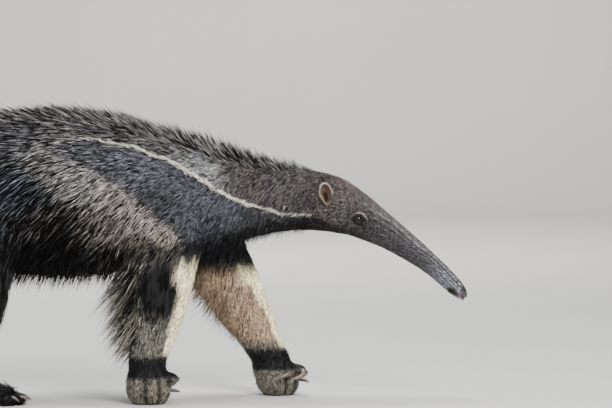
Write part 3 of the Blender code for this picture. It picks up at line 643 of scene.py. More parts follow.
def sculptFists(co):
    moved = co.copy()
    for name in limbs:
        if name.startswith("hind"):
            continue
        x, y = limbs[name][-2][0] + frontShift, limbs[name][-2][1]
        sign = signOf(name)
        away = co[:, :2] - (x, y)
        reach = np.linalg.norm(away, axis=1)
        near = (reach < 0.062) & (co[:, 2] < 0.10)
        turn = np.degrees(np.arctan2(away[:, 1] * sign, away[:, 0]))
        low = step(fist["top"], fist["top"] - 0.025, co[:, 2])
        push = np.zeros(len(co))
        for at, wide in fist["clefts"]:
            slant = fist["slant"] * (co[:, 2] - fist["slantFrom"])
            push -= fist["deep"] * hill(turn - at - slant, wide) * low
        push += 0.0016 * hill(co[:, 2] - 0.048, 0.010) - 0.0014 * hill(co[:, 2] - 0.068, 0.008)
        push -= fist["roundBy"] * np.clip(1 - co[:, 2] / fist["edge"], 0, 1) ** 2
        moved[:, :2] += away / np.maximum(reach, 1e-6)[:, None] * (push * near)[:, None]
    return moved


# Muzzle: the mouth slit runs back under the nose, nostrils face forwards and out
muzzle = {
    "nostril": (0.9190, 0.0068, 0.2085),
    "nostrilAhead": (0.80, 0.42, -0.30),
    "nostrilWidth": (0.0034, 0.0024),
    "nostrilDeep": 0.0050,
    "nostrilRim": 0.0010,
    "mouthStart": (0.9225, 0.1945),
    "mouthEnd": (0.8880, 0.2125),
    "mouthSag": 0.0030,
    "slit": (0.0024, 0.0009),
    "lip": (0.0012, 0.0036, 0.0022),
    "ridge": (0.0011, 42.0, 8.0),
    "trough": (0.0011, 54.0, 6.0),
}


def alongHead(co):
    # How far along the axis of the head each point is, and its angle from the top
    rows = trunkRows()
    axis = rows[rows[:, 0] > skin["headLine"]][:, (0, 2)]
    _, _, along, rise, _ = alongAxis(axis, co[:, (0, 2)])
    return along, np.degrees(np.arctan2(np.abs(co[:, 1]), rise))


def sculptMuzzle(co, normals):
    along, turn = alongHead(co)
    share = along / along.max()
    push = np.zeros(len(co))
    snout = step(0.36, 0.52, share) * step(0.985, 0.93, share)
    # The skin lies in long folds from the eye to the nose
    for fold, sign in (("ridge", 1), ("trough", -1)):
        high, at, wide = muzzle[fold]
        drift = at + 5 * np.sin(along * 60)
        push += sign * high * hill(turn - drift, wide) * snout * (0.55 + 0.45 * step(0.9, 0.4, share))
    degrees = 57.3
    grain = np.stack([along * 0.16, turn / degrees * 0.02, np.sign(co[:, 1]) * 0.3], axis=1)
    push += 0.00034 * waver(grain, 210, 5) * snout
    push += 0.00022 * waver(grain * np.array((1.6, 2.2, 1)), 330, 6) * snout
    # Soft sag below the eye and at the back of the jaw
    push += 0.0010 * hill(turn - 118, 22) * hill(share - 0.34, 0.13)
    # The slit between the lips
    start, end = np.array(muzzle["mouthStart"]), np.array(muzzle["mouthEnd"])
    way = end - start
    long = np.linalg.norm(way)
    way = way / long
    flat = co[:, (0, 2)] - start
    t = flat @ way
    off = flat @ np.array((way[1], -way[0])) * -1
    off = off + muzzle["mouthSag"] * np.sin(np.clip(t / long, 0, 1) * math.pi)
    inMouth = step(-0.006, -0.003, t) * step(long, long * 0.86, t)
    deep, thin = muzzle["slit"]
    push -= deep * hill(off, thin) * inMouth
    high, at, wide = muzzle["lip"]
    push += high * (hill(off - at, wide) + 0.8 * hill(off + at, wide)) * inMouth
    co = co + normals * push[:, None]
    for _, sign in sides:
        middle = np.array(muzzle["nostril"]) * (1, sign, 1)
        facing = unit(np.array(muzzle["nostrilAhead"]) * (1, sign, 1))
        level = unit(np.cross(facing, (0.45, 0, 0.9)))
        raised = np.cross(level, facing)
        away = co - middle
        wide, high = muzzle["nostrilWidth"]
        a, b = away @ level / wide, away @ raised / high
        reach = np.hypot(a + 0.25 * b * b, b)
        close = step(0.012, 0.009, np.linalg.norm(away, axis=1))
        push = -muzzle["nostrilDeep"] * step(1.05, 0.55, reach)
        push += muzzle["nostrilRim"] * hill(reach - 1.35, 0.30)
        co = co + np.outer(push * close, facing)
    return co


co = coordinates(body.data)
for side, _ in sides:
    co = sculptEye(co, side)
putCoordinates(body.data, co)
headPoints = onHead(co)
normals = normalsOf(body.data)
co[headPoints] = sculptMuzzle(co[headPoints], normals[headPoints])
# Behind the head the skin is loose and uneven, down to just above the soles
loose = waver(co, 9, 11) * 0.0012 + waver(co, 24, 12) * 0.0005
co += normals * (loose * step(0.62, 0.54, co[:, 0]) * step(0.006, 0.03, co[:, 2]))[:, None]
co = sculptFists(sculptEar(co, normals))
putCoordinates(body.data, co)
report(f"skin {len(body.data.polygons)} faces with the head")

# Every form as rows of x, y, z, half depth, half width, for the lie of the coat and the unwrap
forms = {"trunk": trunkRows()[::2], "tail": tailRows()[::2]}
for name in limbs:
    forms[name] = limbRows(name)[::2]


def placeOn(form, points):
    # Distance along a form, then how far above and beside its middle line, its half sizes, how far out
    rows = forms[form]
    i, share, along, rise, best = alongAxis(rows[:, (0, 2)], points[:, (0, 2)])
    across = points[:, 1] - rows[i, 1] - share * (rows[i + 1, 1] - rows[i, 1])
    deep, wide = (rows[i, k] + share * (rows[i + 1, k] - rows[i, k]) for k in (3, 4))
    return along, rise, across, deep, wide, np.sqrt((best / deep) ** 2 + (across / wide) ** 2)


def formOf(points):
    # The form whose surface each point is nearest to
    names = list(forms)
    outs = np.stack([placeOn(name, points)[5] for name in names])
    for k, name in enumerate(names):
        if name in limbs:
            outs[k] += 9 * (points[:, 2] > skin["legsBelow"])
    return names, outs.argmin(axis=0)


# An unwrap of the skin along its forms; every tuft takes its patch from it
unwrap = {
    "headRoom": 2.2,
    "headApart": (50, 50),
    "margin": 0.006,
    "apart": 4.0,
}


def unwrapSkin(mesh):
    middles = readAll(mesh.polygons, "center", 3)
    counts = readAll(mesh.polygons, "loop_total", kind=np.int32)
    loops = readAll(mesh.loops, "vertex_index", kind=np.int32)
    corners = coordinates(mesh)[loops]
    names, found = formOf(middles)
    flat = np.zeros((len(loops), 2))
    for k, name in enumerate(names):
        face = placeOn(name, middles)
        corner = placeOn(name, corners)
        ofForm = np.repeat(found == k, counts)
        for side in (0, 1):
            sign = -1 if side else 1
            turn = np.degrees(np.arctan2(corner[2] * sign, corner[1]))
            turn = np.where(turn < -90, turn + 360, turn)
            ofSide = ofForm & np.repeat((face[2] * sign > 0), counts)
            flat[ofSide, 0] = corner[0][ofSide]
            flat[ofSide, 1] = (np.radians(turn) * (corner[3] + corner[4]) / 2)[ofSide]
            flat[ofSide] += (k * unwrap["apart"], side * unwrap["apart"])
            onFace = ofSide & np.repeat(onHead(middles), counts)
            flat[onFace] = flat[onFace] * unwrap["headRoom"] + unwrap["headApart"]
    mesh.uv_layers.new(name="OFBake").data.foreach_set("uv", flat.ravel())
    pick(body)
    bpy.ops.object.mode_set(mode='EDIT')
    bpy.ops.mesh.select_all(action='SELECT')
    bpy.ops.uv.select_all(action='SELECT')
    bpy.ops.uv.pack_islands(rotate=True, rotate_method='CARDINAL', margin=unwrap["margin"],
                            shape_method='CONVEX')
    bpy.ops.object.mode_set(mode='OBJECT')


report("unwrap")
unwrapSkin(body.data)


# Markings. They are laid out as seen from the right side, at the animal's middle plane
markings = {
    "creamLine": (
        (0.180, 0.498), (0.205, 0.498), (0.234, 0.492), (0.262, 0.487), (0.293, 0.481),
        (0.316, 0.469), (0.347, 0.460), (0.378, 0.444), (0.409, 0.425), (0.439, 0.406),
        (0.470, 0.390), (0.501, 0.379), (0.532, 0.371), (0.562, 0.362), (0.593, 0.358),
        (0.630, 0.357),
    ),
    "bandEdge": (
        (0.649, 0.350), (0.660, 0.342), (0.676, 0.3365), (0.695, 0.332), (0.720, 0.322),
        (0.745, 0.305), (0.700, 0.285), (0.560, 0.225), (0.430, 0.215), (0.386, 0.262),
        (0.379, 0.300), (0.349, 0.335), (0.309, 0.365), (0.268, 0.402), (0.230, 0.427),
        (0.205, 0.440), (0.174, 0.454), (0.145, 0.471), (0.122, 0.487),
    ),
    "elbow": (0.336, 0.214, 0.040, 0.058),
    "elbowApart": 0.133,
}

# Guides for the coat: x, z, lie below backwards, length, colour of the pale hairs, their share
coatGuides = {
    "neck top": (0.566, 0.414, 62, 0.020, (0.235, 0.198, 0.208), 0.56),
    "neck side": (0.605, 0.385, 58, 0.012, (0.235, 0.200, 0.210), 0.56),
    "nape": (0.643, 0.414, 42, 0.009, (0.33, 0.272, 0.258), 0.60),
    "neck crest": (0.518, 0.445, 58, 0.024, (0.19, 0.160, 0.140), 0.55),
    "whorl": (0.472, 0.444, 58, 0.022, (0.22, 0.200, 0.185), 0.60),
    "withers": (0.400, 0.465, 30, 0.022, (0.56, 0.555, 0.565), 0.86),
    "above line": (0.425, 0.445, 40, 0.020, (0.62, 0.615, 0.625), 0.90),
    "saddle": (0.320, 0.492, 17, 0.034, (0.30, 0.290, 0.280), 0.55),
    "back": (0.220, 0.529, 11, 0.040, (0.24, 0.230, 0.232), 0.44),
    "loin": (0.060, 0.530, 8, 0.044, (0.27, 0.262, 0.280), 0.50),
    "rump top": (-0.080, 0.500, 14, 0.050, (0.24, 0.232, 0.238), 0.44),
    "pale start": (0.120, 0.455, 27, 0.038, (0.44, 0.420, 0.400), 0.58),
    "pale top": (0.175, 0.428, 33, 0.036, (0.62, 0.585, 0.550), 0.76),
    "pale middle": (0.235, 0.385, 42, 0.036, (0.62, 0.556, 0.500), 0.76),
    "pale front": (0.305, 0.338, 48, 0.032, (0.68, 0.610, 0.560), 0.84),
    "pale tip": (0.355, 0.308, 54, 0.026, (0.68, 0.620, 0.520), 0.86),
    "under the lobe": (0.300, 0.290, 55, 0.034, (0.44, 0.390, 0.320), 0.62),
    "shoulder back": (0.220, 0.315, 50, 0.045, (0.36, 0.320, 0.270), 0.50),
    "flank": (0.125, 0.345, 48, 0.048, (0.20, 0.182, 0.170), 0.27),
    "flank low": (0.143, 0.295, 56, 0.046, (0.07, 0.066, 0.062), 0.08),
    # The blue cast of the rib, hip and thigh colours is painted sky reflection on the dark hair
    "rib": (0.066, 0.400, 42, 0.044, (0.17, 0.200, 0.250), 0.30),
    "hip": (-0.030, 0.400, 42, 0.048, (0.15, 0.162, 0.186), 0.27),
    "rump": (-0.100, 0.420, 38, 0.052, (0.18, 0.170, 0.165), 0.28),
    "thigh": (-0.020, 0.300, 70, 0.048, (0.12, 0.132, 0.155), 0.20),
    "belly": (0.143, 0.240, 82, 0.048, (0.05, 0.045, 0.040), 0.10),
    "brisket": (0.240, 0.262, 72, 0.045, (0.24, 0.210, 0.170), 0.40),
    "forehead": (0.700, 0.395, 30, 0.007, (0.56, 0.460, 0.420), 0.64),
    "cheek": (0.675, 0.365, 45, 0.007, (0.49, 0.440, 0.412), 0.58),
}
# The blue cast of the band's colours is painted sky reflection on the black hair
bandGuides = {
    "band tail": (0.180, 0.480, 16, 0.024, (0.30, 0.300, 0.340), 0.58),
    "band rear": (0.278, 0.450, 18, 0.020, (0.32, 0.325, 0.385), 0.66),
    "band middle": (0.355, 0.414, 25, 0.016, (0.25, 0.256, 0.310), 0.64),
    "band low edge": (0.322, 0.380, 34, 0.018, (0.19, 0.194, 0.222), 0.52),
    "band rear edge": (0.236, 0.434, 22, 0.020, (0.26, 0.265, 0.315), 0.58),
    "band shoulder": (0.425, 0.375, 42, 0.016, (0.26, 0.266, 0.322), 0.66),
    "band front": (0.441, 0.335, 52, 0.016, (0.20, 0.206, 0.250), 0.56),
    "chest": (0.441, 0.290, 66, 0.022, (0.13, 0.140, 0.170), 0.50),
    "throat": (0.537, 0.337, 64, 0.018, (0.18, 0.184, 0.198), 0.48),
    "jaw": (0.640, 0.330, 55, 0.010, (0.07, 0.068, 0.070), 0.45),
}
rootDark = (0.0028, 0.0028, 0.0032)


def seenFromSide(points):
    # Brings points on either flank to the middle plane, along the line of sight
    down = math.radians(camera["down"])
    target = camera["target"]
    near = np.abs(points[:, 1])
    closer = camera["distance"] / (camera["distance"] - near)
    x = target[0] + (points[:, 0] - target[0]) * closer
    z = target[2] + ((points[:, 2] - target[2]) * math.cos(down) - near * math.sin(down)) * closer
    return np.stack([x, z], axis=1)


def lineDistance(flat, line, closed=False):
    line = np.array(line)
    ends = np.roll(line, -1, axis=0) if closed else line[1:]
    best = np.full(len(flat), 9.0)
    for start, end in zip(line, ends):
        way = end - start
        t = np.clip(((flat - start) @ way) / (way @ way), 0, 1)
        best = np.minimum(best, np.linalg.norm(flat - start - np.outer(t, way), axis=1))
    return best


def insideOutline(flat, outline):
    # Positive inside, negative outside, as a distance to the outline
    outline = np.array(outline)
    inside = np.zeros(len(flat), bool)
    for start, end in zip(outline, np.roll(outline, -1, axis=0)):
        crosses = (start[1] > flat[:, 1]) != (end[1] > flat[:, 1])
        rise = (end[1] - start[1]) or 1e-9
        at = start[0] + (end[0] - start[0]) * (flat[:, 1] - start[1]) / rise
        inside ^= crosses & (flat[:, 0] < at)
    distance = lineDistance(flat, outline, closed=True)
    return np.where(inside, distance, -distance)


def blendGuides(flat, guides):
    # Lie, length, colour and share, each guide counting by its nearness
    rows = np.array([(*row[:4], *row[4], row[5]) for row in guides.values()])
    far = ((flat[:, None, :] - rows[None, :, :2]) ** 2).sum(-1)
    weights = 1 / (far + 0.0002) ** 2
    weights /= weights.sum(axis=1, keepdims=True)
    return weights @ rows[:, 2:]


limbMarks = {
    "foreTan": (0.41, 0.380, 0.315),
    "foreInner": (0.465, 0.352, 0.252),
    "foreCream": (0.98, 0.885, 0.560),
    # A darker copy of the cream for the legs' inner sides: painted shade from the body
    "innerCreamShaded": (0.66, 0.590, 0.310),
    "creamRoot": (0.72, 0.645, 0.440),
    "innerRoot": (0.150, 0.100, 0.064),
    "stripeFrom": ((0.100, 0.70), (0.165, 0.66), (0.250, 0.46)),
    "bracelet": (0.052, 0.088),
    "fingers": (0.42, 0.380, 0.310),
    "hind": (0.075, 0.076, 0.085),
    # The blue cast of the black is painted sky reflection
    "black": (0.012, 0.014, 0.019),
    "foreLength": ((0.0, 0.004), (0.05, 0.007), (0.12, 0.018), (0.22, 0.028), (0.30, 0.034)),
    "hindLength": ((0.0, 0.009), (0.05, 0.014), (0.12, 0.026), (0.22, 0.042), (0.30, 0.050)),
    "tail": (0.16, 0.145, 0.125),
    "hindShare": 0.30,
    "tailShare": 0.35,
    "lie": 82,
}


def foreLook(points, name, ahead, outer):
    # A foreleg: pale hairs' colour and share, root colour, length
    z = points[:, 2]
    inner = step(0.15, -0.25, outer) * step(0.095, 0.12, z)
    pale = mix(limbMarks["foreTan"], limbMarks["foreInner"], inner)
    share = 0.62 + 0.21 * inner
    root = mix(rootDark, limbMarks["innerRoot"], inner)
    x, height, half, tall = markings["elbow"]
    base = x if signOf(name) < 0 else x + markings["elbowApart"]
    spot = np.hypot((points[:, 0] - base) / half, (z - height) / tall)
    dark = step(1.12, 0.88, spot + 0.06 * waver(points, 60, 31)) * step(-0.1, 0.3, outer)
    low, high = limbMarks["bracelet"]
    dark = np.maximum(dark, step(low - 0.006, low + 0.004, z) * step(high + 0.008, high - 0.004, z))
    dark = np.maximum(dark, inner * step(0.228, 0.262, z))
    edge = ahead + 0.05 * waver(points, 40, 32) - table(limbMarks["stripeFrom"], z)
    stripe = step(-0.06, 0.08, edge) * step(0.272, 0.255, z)
    stripe *= step(high, high + 0.014, z)
    # Fewer pale hairs in the clefts between the fingers darken them: painted shade
    finger = step(low + 0.004, low - 0.006, z)
    foot = limbs[name][-2]
    aside, before = (points[:, 1] - foot[1]) * signOf(name), points[:, 0] - foot[0] - frontShift
    turn = np.degrees(np.arctan2(aside, before))
    cleftShade = np.zeros(len(points))
    for at, wide in fist["clefts"]:
        cleftShade = np.maximum(cleftShade, hill(turn - at - fist["slant"] * (z - fist["slantFrom"]), wide * 0.8))
    cleftShade *= finger * step(0.055, 0.045, z)
    # The inner side's cream is the darker copy: painted shade from the body
    cream = mix(limbMarks["foreCream"], limbMarks["innerCreamShaded"], inner)
    for colour, under, fullness, cover in (
            (cream, limbMarks["creamRoot"], 1.0, stripe),
            (limbMarks["fingers"], None, 0.75 - 0.62 * cleftShade, finger),
            (limbMarks["black"], rootDark, 0.30, dark)):
        pale = mix(pale, colour, cover)
        root = root if under is None else mix(root, under, cover)
        share = share + (fullness - share) * cover
    behind = step(-0.3, -0.9, ahead) * step(0.09, 0.16, z)
    length = table(limbMarks["foreLength"], z) * (1 - 0.35 * step(0.2, 0.7, ahead)) * (1 + 0.7 * behind)
    return pale, share, root, length


def coatLook(points):
    # The coat at each point: lie, length, root colour, pale hairs' colour and share
    flat = seenFromSide(points)
    look = blendGuides(flat, coatGuides)
    band = step(-0.003, 0.004, insideOutline(flat, markings["creamLine"] + markings["bandEdge"]))
    look += (blendGuides(flat, bandGuides) - look) * band[:, None]
    lie, length, pale, share = look[:, 0], look[:, 1], look[:, 2:5], look[:, 5]
    root = np.tile(rootDark, (len(points), 1))
    # Under the trunk all is black: the dark belly hair together with painted shade of the underside
    middle = placeOn("trunk", points)
    under = step(0.55, 0.86, -middle[1] / np.maximum(middle[3], 1e-6)) * (points[:, 0] < 0.62)
    pale = mix(pale, limbMarks["black"], under * 0.8)
    share = share * (1 - 0.5 * under)
    names, found = formOf(points)
    for k, name in enumerate(names):
        if name not in limbs:
            continue
        place = placeOn(name, points)
        ofLeg = (found == k) * step(0.290, 0.245, points[:, 2])
        if name.startswith("hind"):
            legPale, legShare, legRoot = limbMarks["hind"], limbMarks["hindShare"], rootDark
            legLength = table(limbMarks["hindLength"], points[:, 2])
        else:
            # The leg runs down, so its rise is positive towards the front
            legPale, legShare, legRoot, legLength = foreLook(
                points, name, place[1] / place[3], signOf(name) * place[2] / place[4])
        pale = mix(pale, legPale, ofLeg)
        root = mix(root, legRoot, ofLeg)
        share = share + (legShare - share) * ofLeg
        length = length + (legLength - length) * ofLeg
        lie = lie + (limbMarks["lie"] - lie) * ofLeg
    tailShare = (found == names.index("tail")) * step(-0.13, -0.16, points[:, 0])
    pale = mix(pale, limbMarks["tail"], tailShare)
    share = share + (limbMarks["tailShare"] - share) * tailShare
    return lie, length, root, pale, share


# Colours of the skin where little or no coat hides it
faceSkin = {
    "snoutTop": (0.075, 0.070, 0.073),
    "snoutSide": (0.034, 0.032, 0.036),
    # Lighter blue-grey for the lower snout sides: painted sky sheen
    "snoutLowBlueSheen": (0.120, 0.130, 0.154),
    "socket": (0.0040, 0.0038, 0.0040),
    "lidFold": (0.440, 0.390, 0.355),
    "lips": (0.300, 0.195, 0.160),
    "gum": (0.045, 0.034, 0.030),
    "pad": (0.016, 0.015, 0.017),
    # Near-black painted shade for the nostril pits, the corner of the mouth and the slit between the lips
    "nostril": (0.003, 0.003, 0.003),
    "cheek": (0.050, 0.042, 0.038),
    "sole": (0.060, 0.050, 0.045),
    "padAt": (0.9215, 0.0, 0.2090),
    # The ridges carry a painted highlight and the furrows painted shade
    "ridges": ((42, 4.5, 0.9), (66, 4.0, 0.7), (84, 5.0, 0.5)),
    "furrowShade": ((53, 5.0, 0.8), (75, 4.5, 0.5), (100, 6.0, 0.3)),
    "eyeStreaks": ((0.001, 0.10, 0.042), (-0.005, -0.15, 0.034), (-0.011, -0.45, 0.030)),
    "gape": (0.8975, 0.2095),
}


def paintSkin(mesh):
    co = coordinates(mesh)
    _, _, root, pale, share = coatLook(co)
    colour = root + (pale - root) * (0.30 * share)[:, None]
    along, turn = alongHead(co)
    share = along / along.max()
    onFace = step(0.10, 0.26, share) * onHead(co)
    side = step(40, 75, turn + 6 * waver(co, 30, 41))
    face = mix(faceSkin["cheek"], faceSkin["snoutTop"], step(0.30, 0.50, share))
    face = mix(face, faceSkin["snoutSide"], side * step(0.25, 0.45, share))
    # The lower snout sides near the nose take a painted blue-grey sheen
    face = mix(face, faceSkin["snoutLowBlueSheen"], side * step(0.72, 0.90, share) * 0.7)
    # Painted highlights run along the snout's ridges and painted shade along its furrows from the eye to the
    # nose, with broken streaks beside them
    lane = turn + 5 * np.sin(along * 60)
    broken = 1 + 0.6 * waver(co, 70, 46)
    for at, wide, change in faceSkin["ridges"]:
        face *= (1 + change * hill(lane - at, wide) * step(0.36, 0.48, share) * broken)[:, None]
    for at, wide, change in faceSkin["furrowShade"]:
        face *= (1 - change * hill(lane - at, wide) * step(0.34, 0.44, share))[:, None]
    streaks = waver(np.stack([along * 0.22, turn * 0.0006, np.sign(co[:, 1])], axis=1), 150, 44)
    speckle = waver(co, 210, 47)
    face *= (1 + 0.34 * streaks * step(0.30, 0.45, share) + 0.34 * speckle
             + 0.16 * waver(co * (1, 2.0, 1), 90, 42))[:, None]
    for side, sign in sides:
        a, b, depth, _ = acrossEye(co, side)
        near = np.abs(depth) < 0.022
        reach = eyeReach(a, b)
        forwards = step(-0.012, 0.010, a - 0.6 * b)
        dark = step(3.0 + 1.3 * forwards, 1.7 + 0.4 * forwards, reach + 0.35 * waver(co, 110, 43)) * near
        dark = np.maximum(dark * (1 - 0.45 * step(1.9, 2.6, reach)), step(1.85, 1.6, reach) * near)
        for start, slope, far in faceSkin["eyeStreaks"]:
            line = b - start - slope * a + 0.0012 * waver(co, 60, 45)
            streak = 0.85 * hill(line, 0.0026) * step(-0.004, 0.006, a) * step(far, far * 0.6, a)
            dark = np.maximum(dark, streak * near)
        dark = np.maximum(dark, 0.6 * hill(np.hypot(a - 0.012, b + 0.010), 0.016) * near)
        face = mix(face, faceSkin["socket"], dark * 0.95)
        where = np.degrees(np.arctan2(b, a))
        fold = hill(foldReach(a, b) - 1, 0.10) * step(5, 35, where) * step(155, 100, where) * near
        face = mix(face, faceSkin["lidFold"], fold * np.clip(0.70 + 0.45 * waver(co, 150, 48), 0, 1))
        # The nostril pits are painted near-black: painted shade in the openings
        nostril = np.linalg.norm(co - np.array(muzzle["nostril"]) * (1, sign, 1), axis=1)
        face = mix(face, faceSkin["nostril"], step(0.0060, 0.0038, nostril))
    mouth = lineDistance(co[:, (0, 2)], (muzzle["mouthStart"], muzzle["mouthEnd"]))
    pad = step(0.0150, 0.0100, np.linalg.norm((co - faceSkin["padAt"]) * (1, 0.7, 1), axis=1))
    face = mix(face, faceSkin["pad"], pad * 0.9)
    x, z = co[:, 0], co[:, 2]
    ahead, up = x - faceSkin["gape"][0], z - faceSkin["gape"][1]
    gape = np.hypot(ahead / 0.0085, (up + 0.5 * ahead) / 0.0055)
    face = mix(face, faceSkin["gum"], step(1.5, 1.0, gape))
    # The corner of the mouth is painted near-black: painted shade of the opening
    face = mix(face, faceSkin["nostril"], step(1.0, 0.6, gape))
    lips = hill(x - 0.9105 + 0.3 * (z - 0.2030), 0.0016) * step(0.2120, 0.2085, z)
    face = mix(face, faceSkin["lips"], lips * 0.9)
    # The slit between the lips is painted near-black: painted shade in the groove
    face = mix(face, faceSkin["nostril"], step(0.0012, 0.0005, mouth))
    colour = mix(colour, face, onFace)
    colour = mix(colour, faceSkin["sole"], step(0.004, 0.001, co[:, 2]))
    addColours(mesh, "skinColour", np.clip(colour, 0.004, 1))
    names, found = formOf(co)
    flow = np.zeros((len(co), 3))
    for k, name in enumerate(names):
        place = placeOn(name, co)
        around = np.arctan2(place[2], place[1]) * (place[3] + place[4]) / 2
        flow[found == k] = np.stack([place[0], around, np.full(len(co), k * 0.37)], axis=1)[found == k]
    addValues(mesh, "flow", flow, 'FLOAT_VECTOR', "vector")
    addValues(mesh, "wet", pad * onFace)


report("skin colours")
paintSkin(body.data)


def makeMaterial(name, roughness, specular=0.35, sheen=0.0, coat=0.0):
    material = bpy.data.materials.new(name)
    material.use_nodes = True
    shader = material.node_tree.nodes["Principled BSDF"]
    for socket, value in (("Roughness", roughness), ("Specular IOR Level", specular),
                          ("Sheen Weight", sheen), ("Coat Weight", coat)):
        shader.inputs[socket].default_value = value
    return material, material.node_tree, shader


def feed(tree, node, sources):
    for socket, source in sources.items():
        tree.links.new(source, node.inputs[socket])


def addNode(tree, kind, sources, **values):
    node = tree.nodes.new(kind)
    for key, value in values.items():
        if key in node.inputs:
            node.inputs[key].default_value = value
        else:
            setattr(node, key, value)
    feed(tree, node, sources)
    return node


def attribute(tree, name, output="Fac"):
    return addNode(tree, 'ShaderNodeAttribute', {}, attribute_name=name).outputs[output]


def ownSpace(tree):
    return addNode(tree, 'ShaderNodeTexCoord', {}).outputs["Object"]


def noise(tree, vector, scale, detail, roughness=0.5):
    return addNode(tree, 'ShaderNodeTexNoise', {"Vector": vector},
                   Scale=scale, Detail=detail, Roughness=roughness).outputs["Fac"]


def remap(tree, value, fromLow=0.0, fromHigh=1.0, toLow=0.0, toHigh=1.0):
    ranges = {"From Min": fromLow, "From Max": fromHigh, "To Min": toLow, "To Max": toHigh}
    return addNode(tree, 'ShaderNodeMapRange', {"Value": value}, **ranges).outputs[0]


def multiplyAdd(tree, value, factor):
    node = addNode(tree, 'ShaderNodeMath', {0: value}, operation='MULTIPLY_ADD')
    node.inputs[1].default_value = factor
    return node


def bump(tree, height, strength, distance, under=None):
    sources = {"Height": height}
    if under:
        sources["Normal"] = under
    return addNode(tree, 'ShaderNodeBump', sources, Strength=strength, Distance=distance).outputs[0]


def addRamp(tree, value, stops):
    ramp = addNode(tree, 'ShaderNodeValToRGB', {"Fac": value})
    points = ramp.color_ramp.elements
    for number, (position, colour) in enumerate(stops):
        point = points[number] if number < 2 else points.new(position)
        point.position, point.color = position, (*colour, 1)
    return ramp.outputs["Color"]


def tint(tree, colour, shade, low, high):
    # Multiplies a colour by a grey that a pattern moves between two values
    grey = remap(tree, shade, toLow=low, toHigh=high)
    return addNode(tree, 'ShaderNodeVectorMath', {0: colour, "Scale": grey}, operation='SCALE').outputs[0]


def skinMaterial():
    material, tree, shader = makeMaterial("wrinkled skin", 0.62, 0.20)
    place, wet = ownSpace(tree), attribute(tree, "wet")
    flow = attribute(tree, "flow", "Vector")
    longFolds, longHairs = (
        addNode(tree, 'ShaderNodeMapping', {"Vector": flow}, Scale=(long, 1.0, 1.0)).outputs[0]
        for long in (0.20, 0.26))
    folds = noise(tree, longFolds, 620.0, 4.0, 0.62)
    pores = noise(tree, place, 340.0, 6.0, 0.7)
    grain = addNode(tree, 'ShaderNodeTexVoronoi', {"Vector": place}, Scale=950.0).outputs["Distance"]
    # Pale and dark short hairs lying on the skin, too flat to stand out as tufts
    flecks = remap(tree, noise(tree, longHairs, 620.0, 3.0, 0.6), 0.40, 0.62)
    painted = attribute(tree, "skinColour", "Color")
    for shade, low, high in ((folds, 0.45, 1.60), (flecks, 0.35, 2.50), (pores, 0.72, 1.30)):
        painted = tint(tree, painted, shade, low, high)
    drier = multiplyAdd(tree, wet, -0.24)
    feed(tree, drier, {2: remap(tree, pores, toLow=0.42, toHigh=0.70)})
    gloss = multiplyAdd(tree, wet, 0.60)
    gloss.inputs[2].default_value = 0.20
    deep = bump(tree, folds, 0.85, 0.0011)
    feed(tree, shader, {"Base Color": painted, "Roughness": drier.outputs[0],
                        "Specular IOR Level": gloss.outputs[0],
                        "Normal": bump(tree, grain, 0.45, 0.0004, deep)})
    return material


def hairMaterial(name, roughness=0.52, specular=0.10):
    material, tree, shader = makeMaterial(name, roughness, specular)
    place = ownSpace(tree)
    patches = noise(tree, place, 38.0, 3.0, 0.6)
    strands = noise(tree, place, 520.0, 2.0)
    painted = tint(tree, attribute(tree, "hairColour", "Color"), patches, 0.74, 1.26)
    painted = tint(tree, painted, remap(tree, strands, 0.36, 0.64), 0.50, 1.50)
    rough = remap(tree, strands, toLow=roughness - 0.10, toHigh=roughness + 0.12)
    feed(tree, shader, {"Base Color": painted, "Roughness": rough,
                        "Normal": bump(tree, strands, 0.30, 0.0004)})
    return material


fleshNodes = ["head", "neck", "torso", "tail"]
for side, _ in sides:
    fleshNodes += [f"foreleg_{side}", f"forefoot_{side}", f"hindleg_{side}", f"hindfoot_{side}"]
body.data.materials.clear()
dress(body, skinMaterial(), "dark_coat", *fleshNodes)

# The coat: locks are rooted all over the skin, and each holds a few tufts that meet at the tip
coatShape = {
    "rootSunk": 0.0016,
    "lowest": 0.0004,
    "broadest": 0.142,
    "patch": 0.003,
    "mapRoom": (0.006, 0.988),
    "tuftProfile": (0.60, 1.20, 1.55),
    "ridge": 0.50,
    "turnsPale": (0.10, 0.72),
    "blend": 0.22,
    "cell": 0.0035,
    "meet": 0.40,
    "nudge": 0.002,
}


def skinArrays(mesh):
    tree, co, corners = treeOf(mesh)
    triLoops = readAll(mesh.loop_triangles, "loops", 3, np.int32)
    flat = readAll(mesh.uv_layers["OFBake"].data, "uv", 2)
    a, b, c = (co[corners[:, k]] for k in range(3))
    middles = (a + b + c) / 3
    areas = np.linalg.norm(np.cross(b - a, c - a), axis=1) / 2
    names, found = formOf(middles)
    return {
        "tree": tree, "co": co, "corners": corners, "normals": normalsOf(mesh),
        "maps": flat[triLoops], "middles": middles, "areas": areas,
        "facing": unit(np.cross(b - a, c - a)), "names": names, "found": found,
    }


report("coat")
ground = skinArrays(body.data)


def ofForm(*wanted):
    return np.isin(ground["found"], [ground["names"].index(name) for name in wanted])


def scatterRoots(density, count):
    # Roots spread over the skin by area and by a density on each triangle
    weights = np.cumsum(ground["areas"] * density)
    chosen = np.searchsorted(weights, chance.uniform(0, weights[-1], count))
    u, v = chance.uniform(size=(2, count))
    over = u + v > 1
    u, v = np.where(over, 1 - u, u), np.where(over, 1 - v, v)
    shares = np.stack([1 - u - v, u, v], axis=1)[:, :, None]
    corners = ground["corners"][chosen]
    places = (ground["co"][corners] * shares).sum(axis=1)
    normals = unit((ground["normals"][corners] * shares).sum(axis=1))
    maps = (ground["maps"][chosen] * shares).sum(axis=1)
    return places, normals, maps


